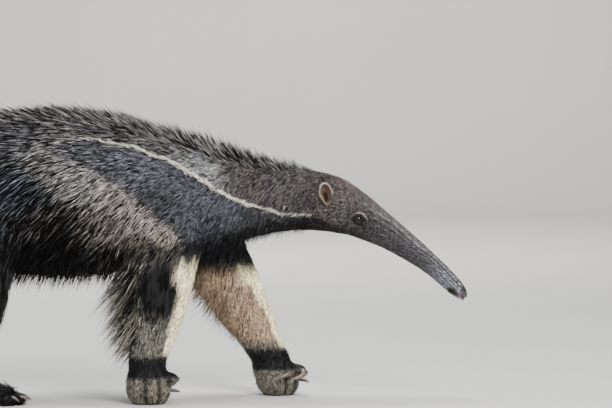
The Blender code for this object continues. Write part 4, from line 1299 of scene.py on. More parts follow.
def nearestSkin(points):
    found = [ground["tree"].find_nearest(Vector(p)) for p in points]
    return np.array([f[0] for f in found]), np.array([f[1] for f in found])


def headingOf(lie, normals):
    # The lie is an angle below straight back, laid onto the skin
    angle = np.radians(lie)
    heading = np.stack([-np.cos(angle), np.zeros(len(angle)), -np.sin(angle)], axis=1)
    return unit(heading - normals * dot(heading, normals))


def clingingPaths(places, normals, lie, lengths, heights, steps):
    # Locks that follow the skin and rise slowly from it
    path = [places - normals * coatShape["rootSunk"]]
    tops = [normals]
    here, facing = places, normals
    for k in range(1, steps + 1):
        heading = headingOf(lie, facing)
        here, facing = nearestSkin(here + heading * (lengths / steps)[:, None])
        facing = unit(facing + tops[-1] * 0.8)
        path.append(here + facing * (heights * (k / steps) ** 0.75)[:, None])
        tops.append(facing)
    return np.stack(path, axis=1), np.stack(tops, axis=1)


def hangingPaths(places, normals, headings, lengths, falls, steps, floor=0.045):
    # Long hair that leaves its root along a heading and bends down as it goes
    path = [places - normals * coatShape["rootSunk"] * 2]
    heading = headings
    for k in range(1, steps + 1):
        path.append(path[-1] + heading * (lengths / steps)[:, None])
        room = (path[-1][:, 2] - floor) / (lengths / steps)
        pull = falls * np.clip(room - 0.4, -0.8, 1)
        heading = unit(heading - np.stack([pull * 0, pull * 0, pull], axis=1))
    path = np.stack(path, axis=1)
    ways = unit(np.diff(path, axis=1, append=path[:, -1:] * 2 - path[:, -2:-1]))
    tops = unit(normals[:, None, :] - ways * (normals[:, None, :] * ways).sum(-1, keepdims=True))
    return path, tops


def splitLocks(path, tops, children, spread, meet, unevenness=0.12):
    # Each lock becomes a few tufts around its line that meet towards the tip
    n, k = path.shape[:2]
    index = np.repeat(np.arange(n), children)
    ways = unit(path[:, 1] - path[:, 0])
    beside = unit(np.cross(tops[:, 0], ways))
    a = chance.normal(0, spread, n * children)
    b = chance.normal(0, spread, n * children)
    lift = chance.uniform(-1, 1, n * children)
    t = np.linspace(0, 1, k)
    fade = 1 - meet * t
    child = path[index]
    trim = 1 - np.abs(chance.normal(0, unevenness, n * children))[:, None, None]
    child = child[:, :1] + (child - child[:, :1]) * trim
    child = child + beside[index][:, None, :] * (a[:, None] * fade)[:, :, None]
    child = child + ways[index][:, None, :] * (b[:, None] * 1.6)[:, :, None]
    child = child + tops[index] * ((lift * spread * 0.6)[:, None] * t)[:, :, None]
    return child, tops[index], index


def hairTones(root, pale, share, index, brightness=0.22, lockwise=0.55):
    # In some locks most hairs end pale, in others few do; each turns pale at its own place
    n = len(index)
    byLock = share * np.exp(chance.normal(0, lockwise, len(share)) - lockwise**2 / 2)
    light = (chance.uniform(size=n) < byLock[index])[:, None]
    tone = np.exp(chance.normal(0, brightness, n))[:, None]
    tips = np.where(light, pale[index] * chance.uniform(0.70, 1.25, n)[:, None], root[index] * 1.5)
    turns = chance.uniform(*coatShape["turnsPale"], n)
    return root[index] * tone, tips * tone, turns


def tuftFaces(k):
    # Rings of three along the tuft, closed at the root and meeting in one point
    faces = [(0, 1, 2)]
    for i in range(k - 2):
        for j in range(3):
            a, b = 3 * i + j, 3 * i + (j + 1) % 3
            faces += [(a, a + 3, b + 3), (a, b + 3, b)]
    for j in range(3):
        faces.append((3 * (k - 2) + j, 3 * (k - 1), 3 * (k - 2) + (j + 1) % 3))
    return np.array(faces)


def tuftPoints(path, tops, widths):
    k = path.shape[1]
    t = np.linspace(0, 1, k)[:-1]
    first, rise, fall = coatShape["tuftProfile"]
    half = (widths[:, None] / 2 * (first + rise * t - fall * t * t))[..., None]
    ways = unit(np.diff(path, axis=1))
    acrosses = unit(np.cross(tops[:, :-1], ways))
    ridges = np.cross(ways, acrosses)
    middle = path[:, :-1]
    rings = np.stack([middle - acrosses * half, middle + ridges * half * coatShape["ridge"],
                      middle + acrosses * half], axis=2)
    points = np.concatenate([rings.reshape(len(path), -1, 3), path[:, -1:]], axis=1)
    points[..., 2] = np.maximum(points[..., 2], coatShape["lowest"])
    beyond = np.maximum(np.abs(points[..., 1]) - coatShape["broadest"], 0)
    points[..., 1] -= np.sign(points[..., 1]) * beyond * 0.6
    return points


def weave(name, path, tops, widths, look, maps, material):
    # Tufts of three sides, each a closed tapered solid, as one mesh
    n, k = path.shape[:2]
    points = tuftPoints(path, tops, widths)
    faces = tuftFaces(k)
    count = points.shape[1]
    across = np.array([0.0, 0.5, 1.0] * (k - 1) + [0.5])
    up = np.concatenate([np.repeat(np.linspace(0, 1, k)[:-1], 3), [1.0]])
    patch = np.stack([across, up], axis=1)[faces]
    patch[0] = ((0, 0), (0.5, 0.12), (1, 0))
    low, high = maps.min(axis=0), maps.max(axis=0)
    start, end = coatShape["mapRoom"]
    maps = start + (maps - low) / (high - low) * (end - start)
    flat = maps[:, None, None, :] + (patch * coatShape["patch"])[None]
    roots, tips, turns = look
    share = np.clip((up[None, :] - turns[:, None]) / coatShape["blend"] + 0.5, 0, 1)[:, :, None]
    colour = roots[:, None, :] * (1 - share) + tips[:, None, :] * share
    mesh = bpy.data.meshes.new(name)
    mesh.vertices.add(n * count)
    mesh.vertices.foreach_set("co", points.ravel())
    every = (faces[None] + np.arange(n)[:, None, None] * count).ravel().astype(np.int32)
    mesh.loops.add(len(every))
    mesh.loops.foreach_set("vertex_index", every)
    mesh.polygons.add(len(every) // 3)
    mesh.polygons.foreach_set("loop_start", np.arange(0, len(every), 3, dtype=np.int32))
    mesh.polygons.foreach_set("use_smooth", np.ones(len(every) // 3, bool))
    mesh.update(calc_edges=True)
    mesh.uv_layers.new(name="OFBake").data.foreach_set("uv", np.clip(flat, 0, 1).ravel())
    addColours(mesh, "hairColour", np.clip(colour.reshape(-1, 3), 0.002, 1))
    piece = bpy.data.objects.new(name, mesh)
    bpy.context.scene.collection.objects.link(piece)
    mesh.materials.append(material)
    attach(piece, "root")
    report(f"{name}: {n} tufts, {len(every) // 3} triangles")


def nudge(maps, index):
    return maps[index] + chance.uniform(-coatShape["nudge"], coatShape["nudge"], (len(index), 2))


coarseHair = hairMaterial("coarse hair")
fineHair = hairMaterial("short face hair")
tailHair = hairMaterial("tail hair")

# Trunk and legs: locks, tufts in each, width, spread, height of the tips, slot
bodyCoat = {
    "coat_shoulder_right": (6500, 3, 0.0016, 0.0021, (0.0020, 0.0085), "grizzled_coat"),
    "coat_flank_right": (6500, 3, 0.0017, 0.0023, (0.0030, 0.0110), "dark_coat"),
    "coat_flank_left": (4300, 3, 0.0025, 0.0026, (0.0030, 0.0105), "dark_coat"),
    "coat_neck": (17500, 1, 0.0015, 0.0018, (0.0012, 0.0055), "grizzled_coat"),
    "coat_belly": (1200, 3, 0.0032, 0.0030, (0.0040, 0.0120), "dark_coat"),
    "coat_forelegs": (4700, 3, 0.0018, 0.0019, (0.0012, 0.0050), "pale_coat"),
    "coat_hindlegs": (2700, 3, 0.0025, 0.0023, (0.0016, 0.0070), "dark_coat"),
}

# Where one region of the coat ends and the next begins
regions = {
    "shoulder": 0.215,
    "neck": 0.465,
    "face": 0.665,
    "under": (-0.55, 0.50),
    "besideEar": 1.05,
}


def regionDensity(part):
    middles, facing = ground["middles"], ground["facing"]
    x, y, z = middles.T
    trunk = ofForm("trunk") & (x < regions["face"]) & (earReach(middles) > regions["besideEar"])
    neck = (trunk & (x > regions["neck"])) * step(regions["face"], 0.615, x)
    under = trunk & (facing[:, 2] < regions["under"][0]) & (x < regions["under"][1])
    side = trunk & (x <= regions["neck"]) & ~under
    right = side & (y < 0)
    legs = ~trunk & (z < skin["legsBelow"]) & (x < skin["headStart"])
    feet = step(0.001, 0.006, z) * (1 + 1.6 * step(0.12, 0.07, z))
    return {
        "coat_shoulder_right": 1.0 * (right & (x > regions["shoulder"])),
        "coat_flank_right": (right & (x <= regions["shoulder"])) * np.interp(x, (-0.15, 0.0), (0.4, 1.0)),
        "coat_flank_left": 1.0 * (side & (y >= 0)),
        "coat_neck": neck * (1.0 + 0.8 * step(0.54, 0.60, x)),
        "coat_belly": 1.0 * under,
        "coat_forelegs": (legs & ofForm("foreleg right", "foreleg left")) * feet,
        "coat_hindlegs": (legs & ofForm("hindleg right", "hindleg left")) * feet,
    }[part]


def growCoat(part):
    locks, children, width, spread, (low, high), slot = bodyCoat[part]
    places, normals, maps = scatterRoots(regionDensity(part), locks)
    lie, length, root, pale, share = coatLook(places)
    lie = lie + 8 * waver(places, 22, 51) + chance.normal(0, 6, locks)
    length = length * chance.uniform(0.7, 1.12, locks) * (1 + 0.15 * waver(places, 30, 52))
    heights = chance.uniform(low, high, locks) * np.clip(length / 0.04, 0.35, 1.2)
    path, tops = clingingPaths(places, normals, lie, length, heights, 2)
    _, _, root, pale, share = coatLook(path[:, 0] * 0.4 + path[:, -1] * 0.6)
    short = np.clip(length / 0.035, 0.45, 1.0)
    patches = cellNoise(places, coatShape["cell"]) - 0.5
    share = share * (1 + 1.6 * patches * step(0.030, 0.016, length))
    path, tops, index = splitLocks(path, tops, children, spread, coatShape["meet"])
    look = hairTones(root, pale, share, index, 0.25, 0.45 if children > 1 else 0.15)
    widths = width * chance.uniform(0.7, 1.25, len(index)) * short[index]
    weave(part, path, tops, widths, look, nudge(maps, index), coarseHair)


for part in bodyCoat:
    growCoat(part)

# The cream line is laid over the coat as its own narrow row of short tufts
creamRow = {
    "tufts": 3600,
    "half": 0.0014,
    "near": 0.004,
    "length": 0.0095,
    "width": 0.0014,
    "height": 0.0065,
    "proud": 0.0022,
    "colour": (0.98, 0.920, 0.790),
    "root": (0.68, 0.620, 0.510),
    "thickness": ((0.0, 0.9), (0.10, 1.0), (0.5, 1.15), (0.75, 1.1), (0.90, 1.5), (1.0, 1.7)),
    "fullness": ((0.0, 0.12), (0.14, 0.62), (0.45, 0.82), (0.68, 0.80), (0.78, 0.62), (0.9, 0.52),
                 (1.0, 0.35)),
}


def alongLine(line, lengths, at):
    return np.stack([np.interp(at, lengths, line[:, 0]), np.interp(at, lengths, line[:, 1])], axis=1)


def onFlank(x, z, way):
    # The skin met along the line of sight through a place on the middle plane
    target, guess = camera["target"], 0.10
    down = math.radians(camera["down"])
    for _ in range(3):
        closer = camera["distance"] / (camera["distance"] - guess)
        across = target[0] + (x - target[0]) / closer
        up = target[2] + ((z - target[2]) / closer + guess * math.sin(down)) / math.cos(down)
        hit, facing, face, _ = fromBeside(ground["tree"], across, up, way)
        guess = abs(hit.y) if hit else guess
    return hit, facing, face


def growCreamLine():
    line = smoothRows(markings["creamLine"], 4)
    lengths = runLengths(line)
    # Bunches along the line leave it a little broken
    at = chance.uniform(0, 1, creamRow["tufts"])
    bunches = np.clip(0.85 + 0.35 * np.sin(at * 61) + 0.25 * np.sin(at * 143 + 1), 0.25, 1)
    at = at[chance.uniform(size=len(at)) < table(creamRow["fullness"], at) * bunches]
    near, here = creamRow["near"], at * lengths[-1]
    turn = alongLine(line, lengths, here + near) - alongLine(line, lengths, here - near)
    turn = np.degrees(np.arctan2(turn[:, 1], turn[:, 0]))
    flat = alongLine(line, lengths, here)
    thick = creamRow["half"] * table(creamRow["thickness"], at)
    stray = np.where(chance.uniform(size=len(at)) < 0.14, 2.6, 0.7)
    flat[:, 1] += chance.normal(0, 1, len(at)) * stray * thick + 0.0009 * np.sin(at * 92)
    flat[:, 0] += chance.normal(0, 0.002, len(at))
    sign = np.where(np.arange(len(at)) % 3 == 0, 1.0, -1.0)
    met = [onFlank(x, z, way) for (x, z), way in zip(flat, sign)]
    keep = np.array([hit is not None for hit, _, _ in met])
    met = [row for row in met if row[0] is not None]
    places, normals = np.array([row[0] for row in met]), np.array([row[1] for row in met])
    maps = ground["maps"][np.array([row[2] for row in met])].mean(axis=1)
    n = len(places)
    lie = turn[keep] + 12 + chance.normal(0, 15, n)
    fine = np.interp(places[:, 0], (0.45, 0.60), (1.0, 0.55))
    length = creamRow["length"] * chance.uniform(0.6, 1.25, n) * fine
    heights = creamRow["height"] * chance.uniform(0.7, 1.15, n) * fine
    path, tops = clingingPaths(places, normals, lie, length, heights, 2)
    path += tops * (creamRow["proud"] * fine[:, None] * np.array((0.0, 1, 1)))[..., None]
    tone = chance.uniform(0.45, 1.20, (n, 1))
    look = (np.array(creamRow["root"]) * tone, np.array(creamRow["colour"]) * tone,
            chance.uniform(0.0, 0.4, n))
    widths = creamRow["width"] * fine * chance.uniform(0.7, 1.3, n)
    weave("coat_cream_line", path, tops, widths, look, maps, coarseHair)


growCreamLine()

# Mane: where each row starts, length and stand from nape to loin
mane = {
    "rows": ((0.640, 0.010, 44.0), (0.602, 0.025, 64.0), (0.530, 0.043, 68.0), (0.450, 0.060, 66.0),
             (0.390, 0.067, 61.0), (0.330, 0.061, 50.0), (0.230, 0.058, 42.0), (0.140, 0.058, 37.0),
             (0.020, 0.054, 21.0), (-0.130, 0.054, 15.0)),
    "halfWidth": ((-0.13, 0.034), (0.30, 0.031), (0.38, 0.023), (0.50, 0.021), (0.64, 0.022)),
    "locks": 5500,
    "tufts": 2,
    "width": 0.0013,
    "spread": 0.0034,
    "colour": (0.33, 0.305, 0.285),
    "share": ((-0.13, 0.40), (0.10, 0.43), (0.20, 0.54), (0.34, 0.50), (0.42, 0.46), (0.52, 0.42),
              (0.64, 0.50)),
    "cell": 0.0042,
    "fall": 0.13,
    "meet": 0.05,
    "noFloor": -9,
}


def growMane():
    middles, facing = ground["middles"], ground["facing"]
    x, y, _ = middles.T
    rows = np.array(mane["rows"][::-1])
    density = (ofForm("trunk") & (facing[:, 2] > 0.35) & (x > rows[0, 0]) & (x < rows[-1, 0])
               ) * hill(y, table(mane["halfWidth"], x))
    places, normals, maps = scatterRoots(density, mane["locks"])
    x, y, _ = places.T
    n = len(x)
    aside = np.clip(np.abs(y) / table(mane["halfWidth"], x), 0, 1.5)
    length = table(rows, x) * chance.uniform(0.80, 1.02, n) * (1 - 0.25 * aside)
    stand = np.radians(table(rows[:, (0, 2)], x) * (1 - 0.35 * aside) + chance.normal(0, 5, n))
    sideways = y * 9 * (0.3 + 0.7 * aside) + chance.normal(0, 0.05, n)
    heading = unit(np.stack([-np.cos(stand), sideways, np.sin(stand)], axis=1))
    falls = np.full(n, mane["fall"])
    path, tops = hangingPaths(places, normals, heading, length, falls, 2, floor=mane["noFloor"])
    path, tops, index = splitLocks(path, tops, mane["tufts"], mane["spread"], mane["meet"])
    share = table(mane["share"], x) * (0.3 + 1.4 * cellNoise(places, mane["cell"]))
    look = hairTones(np.tile(rootDark, (n, 1)), np.tile(mane["colour"], (n, 1)), share, index)
    widths = mane["width"] * chance.uniform(0.7, 1.2, len(index)) * np.clip(length[index] / 0.045, 0.45, 1.1)
    beside = np.zeros_like(tops)
    beside[..., 1] = np.where(path[:, :1, 1] < 0, -1, 1)
    weave("coat_mane", path, beside, widths, look, nudge(maps, index), coarseHair)


growMane()

# Fringes behind the forelegs, under the belly and along the thighs
fringe = {
    "locks": 5200,
    "tufts": 2,
    "width": 0.0012,
    "spread": 0.0036,
    "legLength": 0.084,
    "bellyLength": 0.050,
    "throatLength": ((0.36, 0.036), (0.50, 0.026), (0.57, 0.016), (0.62, 0.008)),
    "bellyFrom": -0.06,
    "throatFrom": 0.36,
    "throatTo": 0.62,
    "foreRange": (0.090, 0.285, 1.8),
    "hindRange": (0.110, 0.290, 0.8),
    "heading": (-0.50, 0.0, -0.86),
    "outwards": (0.20, 0.44),
    "fall": 0.20,
    "meet": 0.25,
}


def growFringes():
    middles, facing = ground["middles"], ground["facing"]
    x, y, z = middles.T
    behind = np.zeros(len(x))
    for name in limbs:
        place = placeOn(name, middles)
        back = step(-0.35, -0.85, place[1] / place[3]) * ofForm(name)
        low, high, much = fringe[name[:4] + "Range"]
        behind = np.maximum(behind, back * step(low, low + 0.05, z) * step(high, high - 0.03, z) * much)
    under = ofForm("trunk") * step(-0.45, -0.85, facing[:, 2])
    start = fringe["throatFrom"]
    belly = under * (x < start) * (x > fringe["bellyFrom"]) * 0.8
    throat = under * (x >= start) * (x < fringe["throatTo"])
    throat = throat * np.interp(x, (start, 0.5, 0.6), (1.6, 3.0, 4.0))
    places, normals, maps = scatterRoots(behind + belly + throat, fringe["locks"])
    n = len(places)
    _, _, root, pale, share = coatLook(places)
    onTrunk = (places[:, 2] > 0.235) & (normals[:, 2] < -0.35)
    length = np.where(onTrunk, fringe["bellyLength"], fringe["legLength"])
    length = np.where(places[:, 0] > start, table(fringe["throatLength"], places[:, 0]), length)
    length *= chance.uniform(0.7, 1.15, n)
    length *= np.where(onTrunk, 1.0, np.interp(places[:, 2], (0.09, 0.16, 0.24), (0.5, 1.0, 1.15)))
    outwards = np.where(onTrunk, *fringe["outwards"])[:, None]
    heading = unit(np.array(fringe["heading"]) + normals * outwards + chance.normal(0, 0.10, (n, 3)))
    path, tops = hangingPaths(places, normals, heading, length, np.full(n, fringe["fall"]), 2)
    path, tops, index = splitLocks(path, tops, fringe["tufts"], fringe["spread"], fringe["meet"], 0.2)
    look = hairTones(root, pale, share, index)
    widths = fringe["width"] * chance.uniform(0.7, 1.2, len(index)) * np.clip(length[index] / 0.04, 0.6, 1.2)
    weave("coat_fringes", path, tops, widths, look, nudge(maps, index), coarseHair)


growFringes()

# Tail hair by the angle up from the side where it leaves: length, stand, how fast it bends down
tailCoat = {
    "rows": ((-80.0, 0.355, 0.55, 0.80), (-25.0, 0.325, 0.42, 0.78), (30.0, 0.245, 0.46, 0.55),
             (80.0, 0.150, 0.40, 0.24)),
    "parts": (("coat_tail_upper", -5, 91), ("coat_tail_lower", -91, -5)),
    "locks": 1450,
    "tufts": 3,
    "width": 0.0040,
    "spread": 0.0070,
    "shorter": 0.36,
    "fall": 0.60,
    "root": (0.012, 0.010, 0.010),
    "tips": (0.200, 0.170, 0.140),
    "share": 0.34,
    "floor": 0.052,
    "brush": 330,
    "brushLength": 0.250,
    "brushHeading": (-1.0, 0, -0.34),
    "brushFall": 0.12,
    "from": -0.135,
    "meet": 0.40,
    "slope": ((0.15, -0.10), (0.35, -0.30), (0.6, -0.38)),
}


def weaveTail(name, places, normals, heading, length, falls, children, maps):
    path, tops = hangingPaths(places, normals, heading, length, falls, 3, tailCoat["floor"])
    path, tops, index = splitLocks(path, tops, children, tailCoat["spread"], tailCoat["meet"], 0.18)
    n = len(places)
    look = hairTones(np.tile(tailCoat["root"], (n, 1)), np.tile(tailCoat["tips"], (n, 1)),
                     np.full(n, tailCoat["share"]), index)
    widths = tailCoat["width"] * chance.uniform(0.55, 1.2, len(index))
    weave(name, path, tops, widths, look, nudge(maps, index), tailHair)


def tailAngle(points):
    # The tail runs backwards, so rise counts down
    _, rise, across, _, _, _ = placeOn("tail", points)
    return np.degrees(np.arctan2(-rise, np.abs(across)))


def growTail():
    middles = ground["middles"]
    density = ofForm("tail") * (middles[:, 0] < tailCoat["from"]) * 1.0
    rows = np.array(tailCoat["rows"])
    facesUp = tailAngle(middles)
    for part, low, high in tailCoat["parts"]:
        places, normals, maps = scatterRoots(density * (facesUp >= low) * (facesUp < high), tailCoat["locks"])
        n = len(places)
        up = tailAngle(places)
        length, stand, fall = (np.interp(up, rows[:, 0], rows[:, k]) for k in (1, 2, 3))
        share = np.clip((-0.15 - places[:, 0]) / 0.58, 0, 1)
        length = length * (1 - tailCoat["shorter"] * share) * chance.uniform(0.72, 1.05, n)
        along = unit(np.stack([-np.ones(n), np.zeros(n), table(tailCoat["slope"], -places[:, 0])], axis=1))
        heading = unit(along + normals * stand[:, None] + chance.normal(0, 0.06, (n, 3)))
        weaveTail(part, places, normals, heading, length, fall * tailCoat["fall"], tailCoat["tufts"], maps)
    # The brush at the tip trails behind the bone
    end = tail[-2][0] + frontShift
    density = ofForm("tail") * (middles[:, 0] < end + 0.10) * 1.0
    places, normals, maps = scatterRoots(density, tailCoat["brush"])
    n = len(places)
    room = places[:, 0] - (cadLow[0] + 0.01)
    length = np.minimum(tailCoat["brushLength"] * chance.uniform(0.55, 1.0, n), room * 1.05)
    heading = unit(np.array(tailCoat["brushHeading"]) + normals * 0.16 + chance.normal(0, 0.05, (n, 3)))
    falls = np.full(n, tailCoat["brushFall"])
    weaveTail("coat_tail_brush", places, normals, heading, length, falls, tailCoat["tufts"], maps)


growTail()

# Face: very short single hairs, sparser down the snout and round the eyes
faceCoat = {
    "hairs": 37000,
    "length": ((0.600, 0.0085), (0.660, 0.0064), (0.720, 0.0054), (0.800, 0.0040), (0.900, 0.0024)),
    "width": ((0.620, 0.00150), (0.72, 0.00130), (0.80, 0.00095), (0.90, 0.0006)),
    "lift": 0.34,
    "density": ((0.610, 0.2), (0.650, 1.0), (0.740, 1.0), (0.820, 0.60), (0.900, 0.30), (0.910, 0.0)),
    "lie": ((0.62, 45.0), (0.70, 22.0), (0.76, -25.0)),
    "snout": (0.340, 0.325, 0.330),
    "snoutRoot": (0.020, 0.019, 0.020),
    "from": 0.610,
    "sunk": 0.0004,
    "cell": 0.0032,
    "turnsPale": 0.3,
}


def growFace():
    middles = ground["middles"]
    x = middles[:, 0]
    density = (ofForm("trunk") & (x > faceCoat["from"])) * table(faceCoat["density"], x)
    density = density * step(0.9, 1.05, earReach(middles))
    for side, _ in sides:
        a, b, depth, _ = acrossEye(middles, side)
        bare = hill(foldReach(a, b) - 1, 0.15) * step(-0.002, 0.004, b)
        hairy = step(1.55, 2.3, eyeReach(a, b)) * (1 - 0.9 * bare)
        density = density * np.where(np.abs(depth) < 0.02, hairy, 1)
    places, normals, maps = scatterRoots(density, faceCoat["hairs"])
    n, x = len(places), places[:, 0]
    lie = table(faceCoat["lie"], x) + 6 * waver(places, 16, 61) + chance.normal(0, 18, n)
    length = table(faceCoat["length"], x) * chance.uniform(0.7, 1.2, n)
    lift = normals * (faceCoat["lift"] * chance.uniform(0.5, 1.4, n))[:, None]
    tip = unit(headingOf(lie, normals) + lift)
    path = np.stack([places - normals * faceCoat["sunk"], places + tip * length[:, None]], axis=1)
    tops = np.stack([normals, normals], axis=1)
    _, _, root, pale, share = coatLook(places)
    along, turn = alongHead(places)
    snout = step(0.28, 0.50, along / along.max())
    pale = mix(pale, faceCoat["snout"], snout * 0.8)
    root = mix(root, faceCoat["snoutRoot"], snout)
    shade = (1 - 0.5 * snout * step(45, 80, turn)) * (0.10 + 1.7 * cellNoise(places, faceCoat["cell"]))
    roots, tips, _ = hairTones(root, pale, share * shade, np.arange(n), 0.30, 0.1)
    widths = table(faceCoat["width"], x) * chance.uniform(0.7, 1.25, n)
    look = (roots, tips, np.full(n, faceCoat["turnsPale"]))
    weave("coat_face", path, tops, widths, look, maps, fineHair)


growFace()

# Eyes: a ball with a clear bulge over a brown iris
eyeBall = {
    "radius": 0.0098,
    "sink": 0.0078,
    "bulge": 0.0007,
    "rings": ((0.30, (0.001, 0.001, 0.001)), (0.35, (0.010, 0.006, 0.004)),
              (0.58, (0.006, 0.004, 0.003)), (0.64, (0.002, 0.002, 0.002)),
              (1.0, (0.004, 0.003, 0.003))),
}


def eyeMaterial():
    material, tree, shader = makeMaterial("dark eye", 0.05, 0.28, 0.0, 0.10)
    fibres = noise(tree, ownSpace(tree), 900.0, 3.0)
    rings = addRamp(tree, attribute(tree, "fromPupil"), eyeBall["rings"])
    feed(tree, shader, {"Base Color": tint(tree, rings, fibres, 0.5, 1.6)})
    return material


def addEyes():
    material = eyeMaterial()
    for side, _ in sides:
        place, normal, ahead, above = eyePlaces[side]
        centre = place - normal * eyeBall["sink"]
        turn = Matrix((ahead, above, normal)).transposed().to_4x4()
        ball = addBall("eye_" + side + "_ball", centre, (eyeBall["radius"],) * 3, turn, 48, 32)
        co = coordinates(ball.data)
        out = (co - np.array(centre)) / eyeBall["radius"]
        facing = np.clip(out @ np.array(normal), -1, 1)
        angle = np.arccos(facing) / (math.pi / 2)
        co = co + np.outer(eyeBall["bulge"] * hill(angle, 0.55), np.array(normal))
        putCoordinates(ball.data, co)
        addValues(ball.data, "fromPupil", np.clip(angle, 0, 1))
        dress(ball, material, "eye", "eye_" + side)


# Ears: a round cup with a rolled rim; each ring has how far out it lies and its size
ear = {
    "height": 0.0425,
    "width": 0.0255,
    "stand": 0.0010,
    "turn": 16.0,
    "spread": 10.0,
    "lean": -9.0,
    "rings": ((-0.0160, 0.48), (-0.0085, 0.64), (-0.0030, 0.80), (0.0020, 0.93), (0.0054, 0.985),
              (0.0068, 1.00), (0.0076, 0.985), (0.0075, 0.955), (0.0060, 0.905), (0.0025, 0.83),
              (-0.0015, 0.73), (-0.0048, 0.60), (-0.0066, 0.45)),
    "canal": ((-0.0076, 0.32), (-0.0105, 0.20), (-0.0125, 0.10)),
    "rim": (0.66, 0.62, 0.54),
    "inside": (0.105, 0.064, 0.040),
    "flesh": (0.420, 0.250, 0.165),
    # Near-black painted shade for the ear opening and the canal
    "slit": (0.006, 0.004, 0.003),
    "back": (0.080, 0.062, 0.052),
    "rimTufts": 1500,
    "tuftWidth": 0.0007,
    "tuftLength": (0.0012, 0.0026),
    "sunk": 0.0003,
    "astray": 0.0004,
    "orderDigits": 5,
}


def earMaterial():
    material, tree, shader = makeMaterial("ear skin", 0.55, 0.35, 0.15)
    shader.inputs["Subsurface Weight"].default_value = 0.12
    shader.inputs["Subsurface Scale"].default_value = 0.002
    grain = noise(tree, ownSpace(tree), 700.0, 4.0)
    feed(tree, shader, {"Base Color": tint(tree, attribute(tree, "earColour", "Color"), grain, 0.65, 1.35),
                        "Normal": bump(tree, grain, 0.5, 0.0005)})
    return material


def earFrame(side, sign):
    place = Vector(earPlaces[side])
    turn = (Matrix.Rotation(math.radians(-sign * ear["turn"]), 4, 'Z')
            @ Matrix.Rotation(math.radians(sign * ear["spread"]), 4, 'X')
            @ Matrix.Rotation(math.radians(ear["lean"]), 4, 'Y'))
    return place + Vector((0, sign * ear["stand"], 0)), turn


def buildEar(side, sign, material):
    # Grown ring by ring from inside the head to the rim, then back in to the canal
    bpy.ops.object.select_all(action='DESELECT')
    bpy.ops.mesh.primitive_circle_add(vertices=36, radius=1, fill_type='NGON', rotation=(math.pi / 2, 0, 0))
    cup = bpy.context.object
    cup.name = "ear_" + side + "_cup"
    bpy.ops.object.transform_apply(location=False, rotation=True, scale=True)
    bpy.ops.object.mode_set(mode='EDIT')
    bpy.ops.mesh.select_all(action='SELECT')
    out, size = 0.0, 1.0
    for number, (away, scale) in enumerate(ear["rings"] + ear["canal"]):
        if number:
            bpy.ops.mesh.extrude_region_move(TRANSFORM_OT_translate={"value": (0, sign * (away - out), 0)})
        else:
            bpy.ops.transform.translate(value=(0, sign * away, 0))
        grow = scale / size
        bpy.ops.transform.resize(value=(grow, 1, grow), center_override=(0, sign * away, 0))
        out, size = away, scale
    bpy.ops.mesh.select_all(action='SELECT')
    bpy.ops.mesh.normals_make_consistent(inside=False)
    bpy.ops.object.mode_set(mode='OBJECT')
    co = coordinates(cup.data)
    ring = np.hypot(co[:, 0], co[:, 2])
    angle = np.arctan2(co[:, 2], co[:, 0])
    # The outline is broad above and pulls in below; folds cross the inside
    co[:, 0] *= ear["width"] / 2 * (1 - 0.20 * np.maximum(-np.sin(angle), 0) ** 2)
    co[:, 2] *= ear["height"] / 2
    away = co[:, 1] * sign
    inside = step(0.9, 0.7, ring) * step(-0.004, 0.0, away) * np.where(ring < 0.9, 1, 0)
    co[:, 1] += sign * (0.0016 * np.sin(angle * 2 + 0.7) * hill(ring - 0.62, 0.16)) * inside
    co[:, 1] += sign * 0.0016 * np.cos(angle - 1.9) * step(0.7, 1.0, ring)
    deepPart = step(0.60, 0.35, ring)
    co[:, 0] += 0.0022 * deepPart
    co[:, 2] -= 0.0035 * deepPart
    co[:, 2] *= 1 + 0.5 * deepPart
    putCoordinates(cup.data, co)
    shapeBy('SUBSURF', cup, levels=1, render_levels=1)
    paintEar(cup.data, sign)
    place, turn = earFrame(side, sign)
    placeLocally(cup, Matrix.Translation(place) @ turn)
    dress(cup, material, "snout", "ear_" + side)
    return cup, turn


def earReaches(co, sign):
    # How near the rim, how far out, and whether in the upper part
    reach = np.hypot(co[:, 0] / (ear["width"] / 2), co[:, 2] / (ear["height"] / 2))
    return reach, co[:, 1] * sign, step(-0.55, 0.05, np.sin(np.arctan2(co[:, 2], co[:, 0])))


def paintEar(mesh, sign):
    co = coordinates(mesh)
    reach, away, upper = earReaches(co, sign)
    inner = step(-0.2, 0.2, normalsOf(mesh)[:, 1] * sign) * step(0.97, 0.90, reach)
    rim = step(0.87, 0.97, reach) * step(0.0012, 0.0050, away) * (0.12 + 0.88 * upper)
    colour = mix(ear["back"], ear["inside"], inner)
    flesh = step(0.001, -0.004, co[:, 0]) * step(0.004, -0.006, co[:, 2]) * inner
    colour = mix(colour, ear["flesh"], flesh * 0.8)
    # The ear opening and the canal that runs into the head are painted near-black: painted shade
    slit = hill(co[:, 0] - 0.0018 - 0.15 * co[:, 2], 0.0028) * step(-0.019, -0.012, co[:, 2])
    slit = slit * step(0.010, 0.003, co[:, 2]) * inner
    colour = mix(colour, ear["slit"], np.maximum(slit, step(-0.0060, -0.0085, away) * inner))
    colour = mix(colour, ear["rim"], rim)
    addColours(mesh, "earColour", colour)


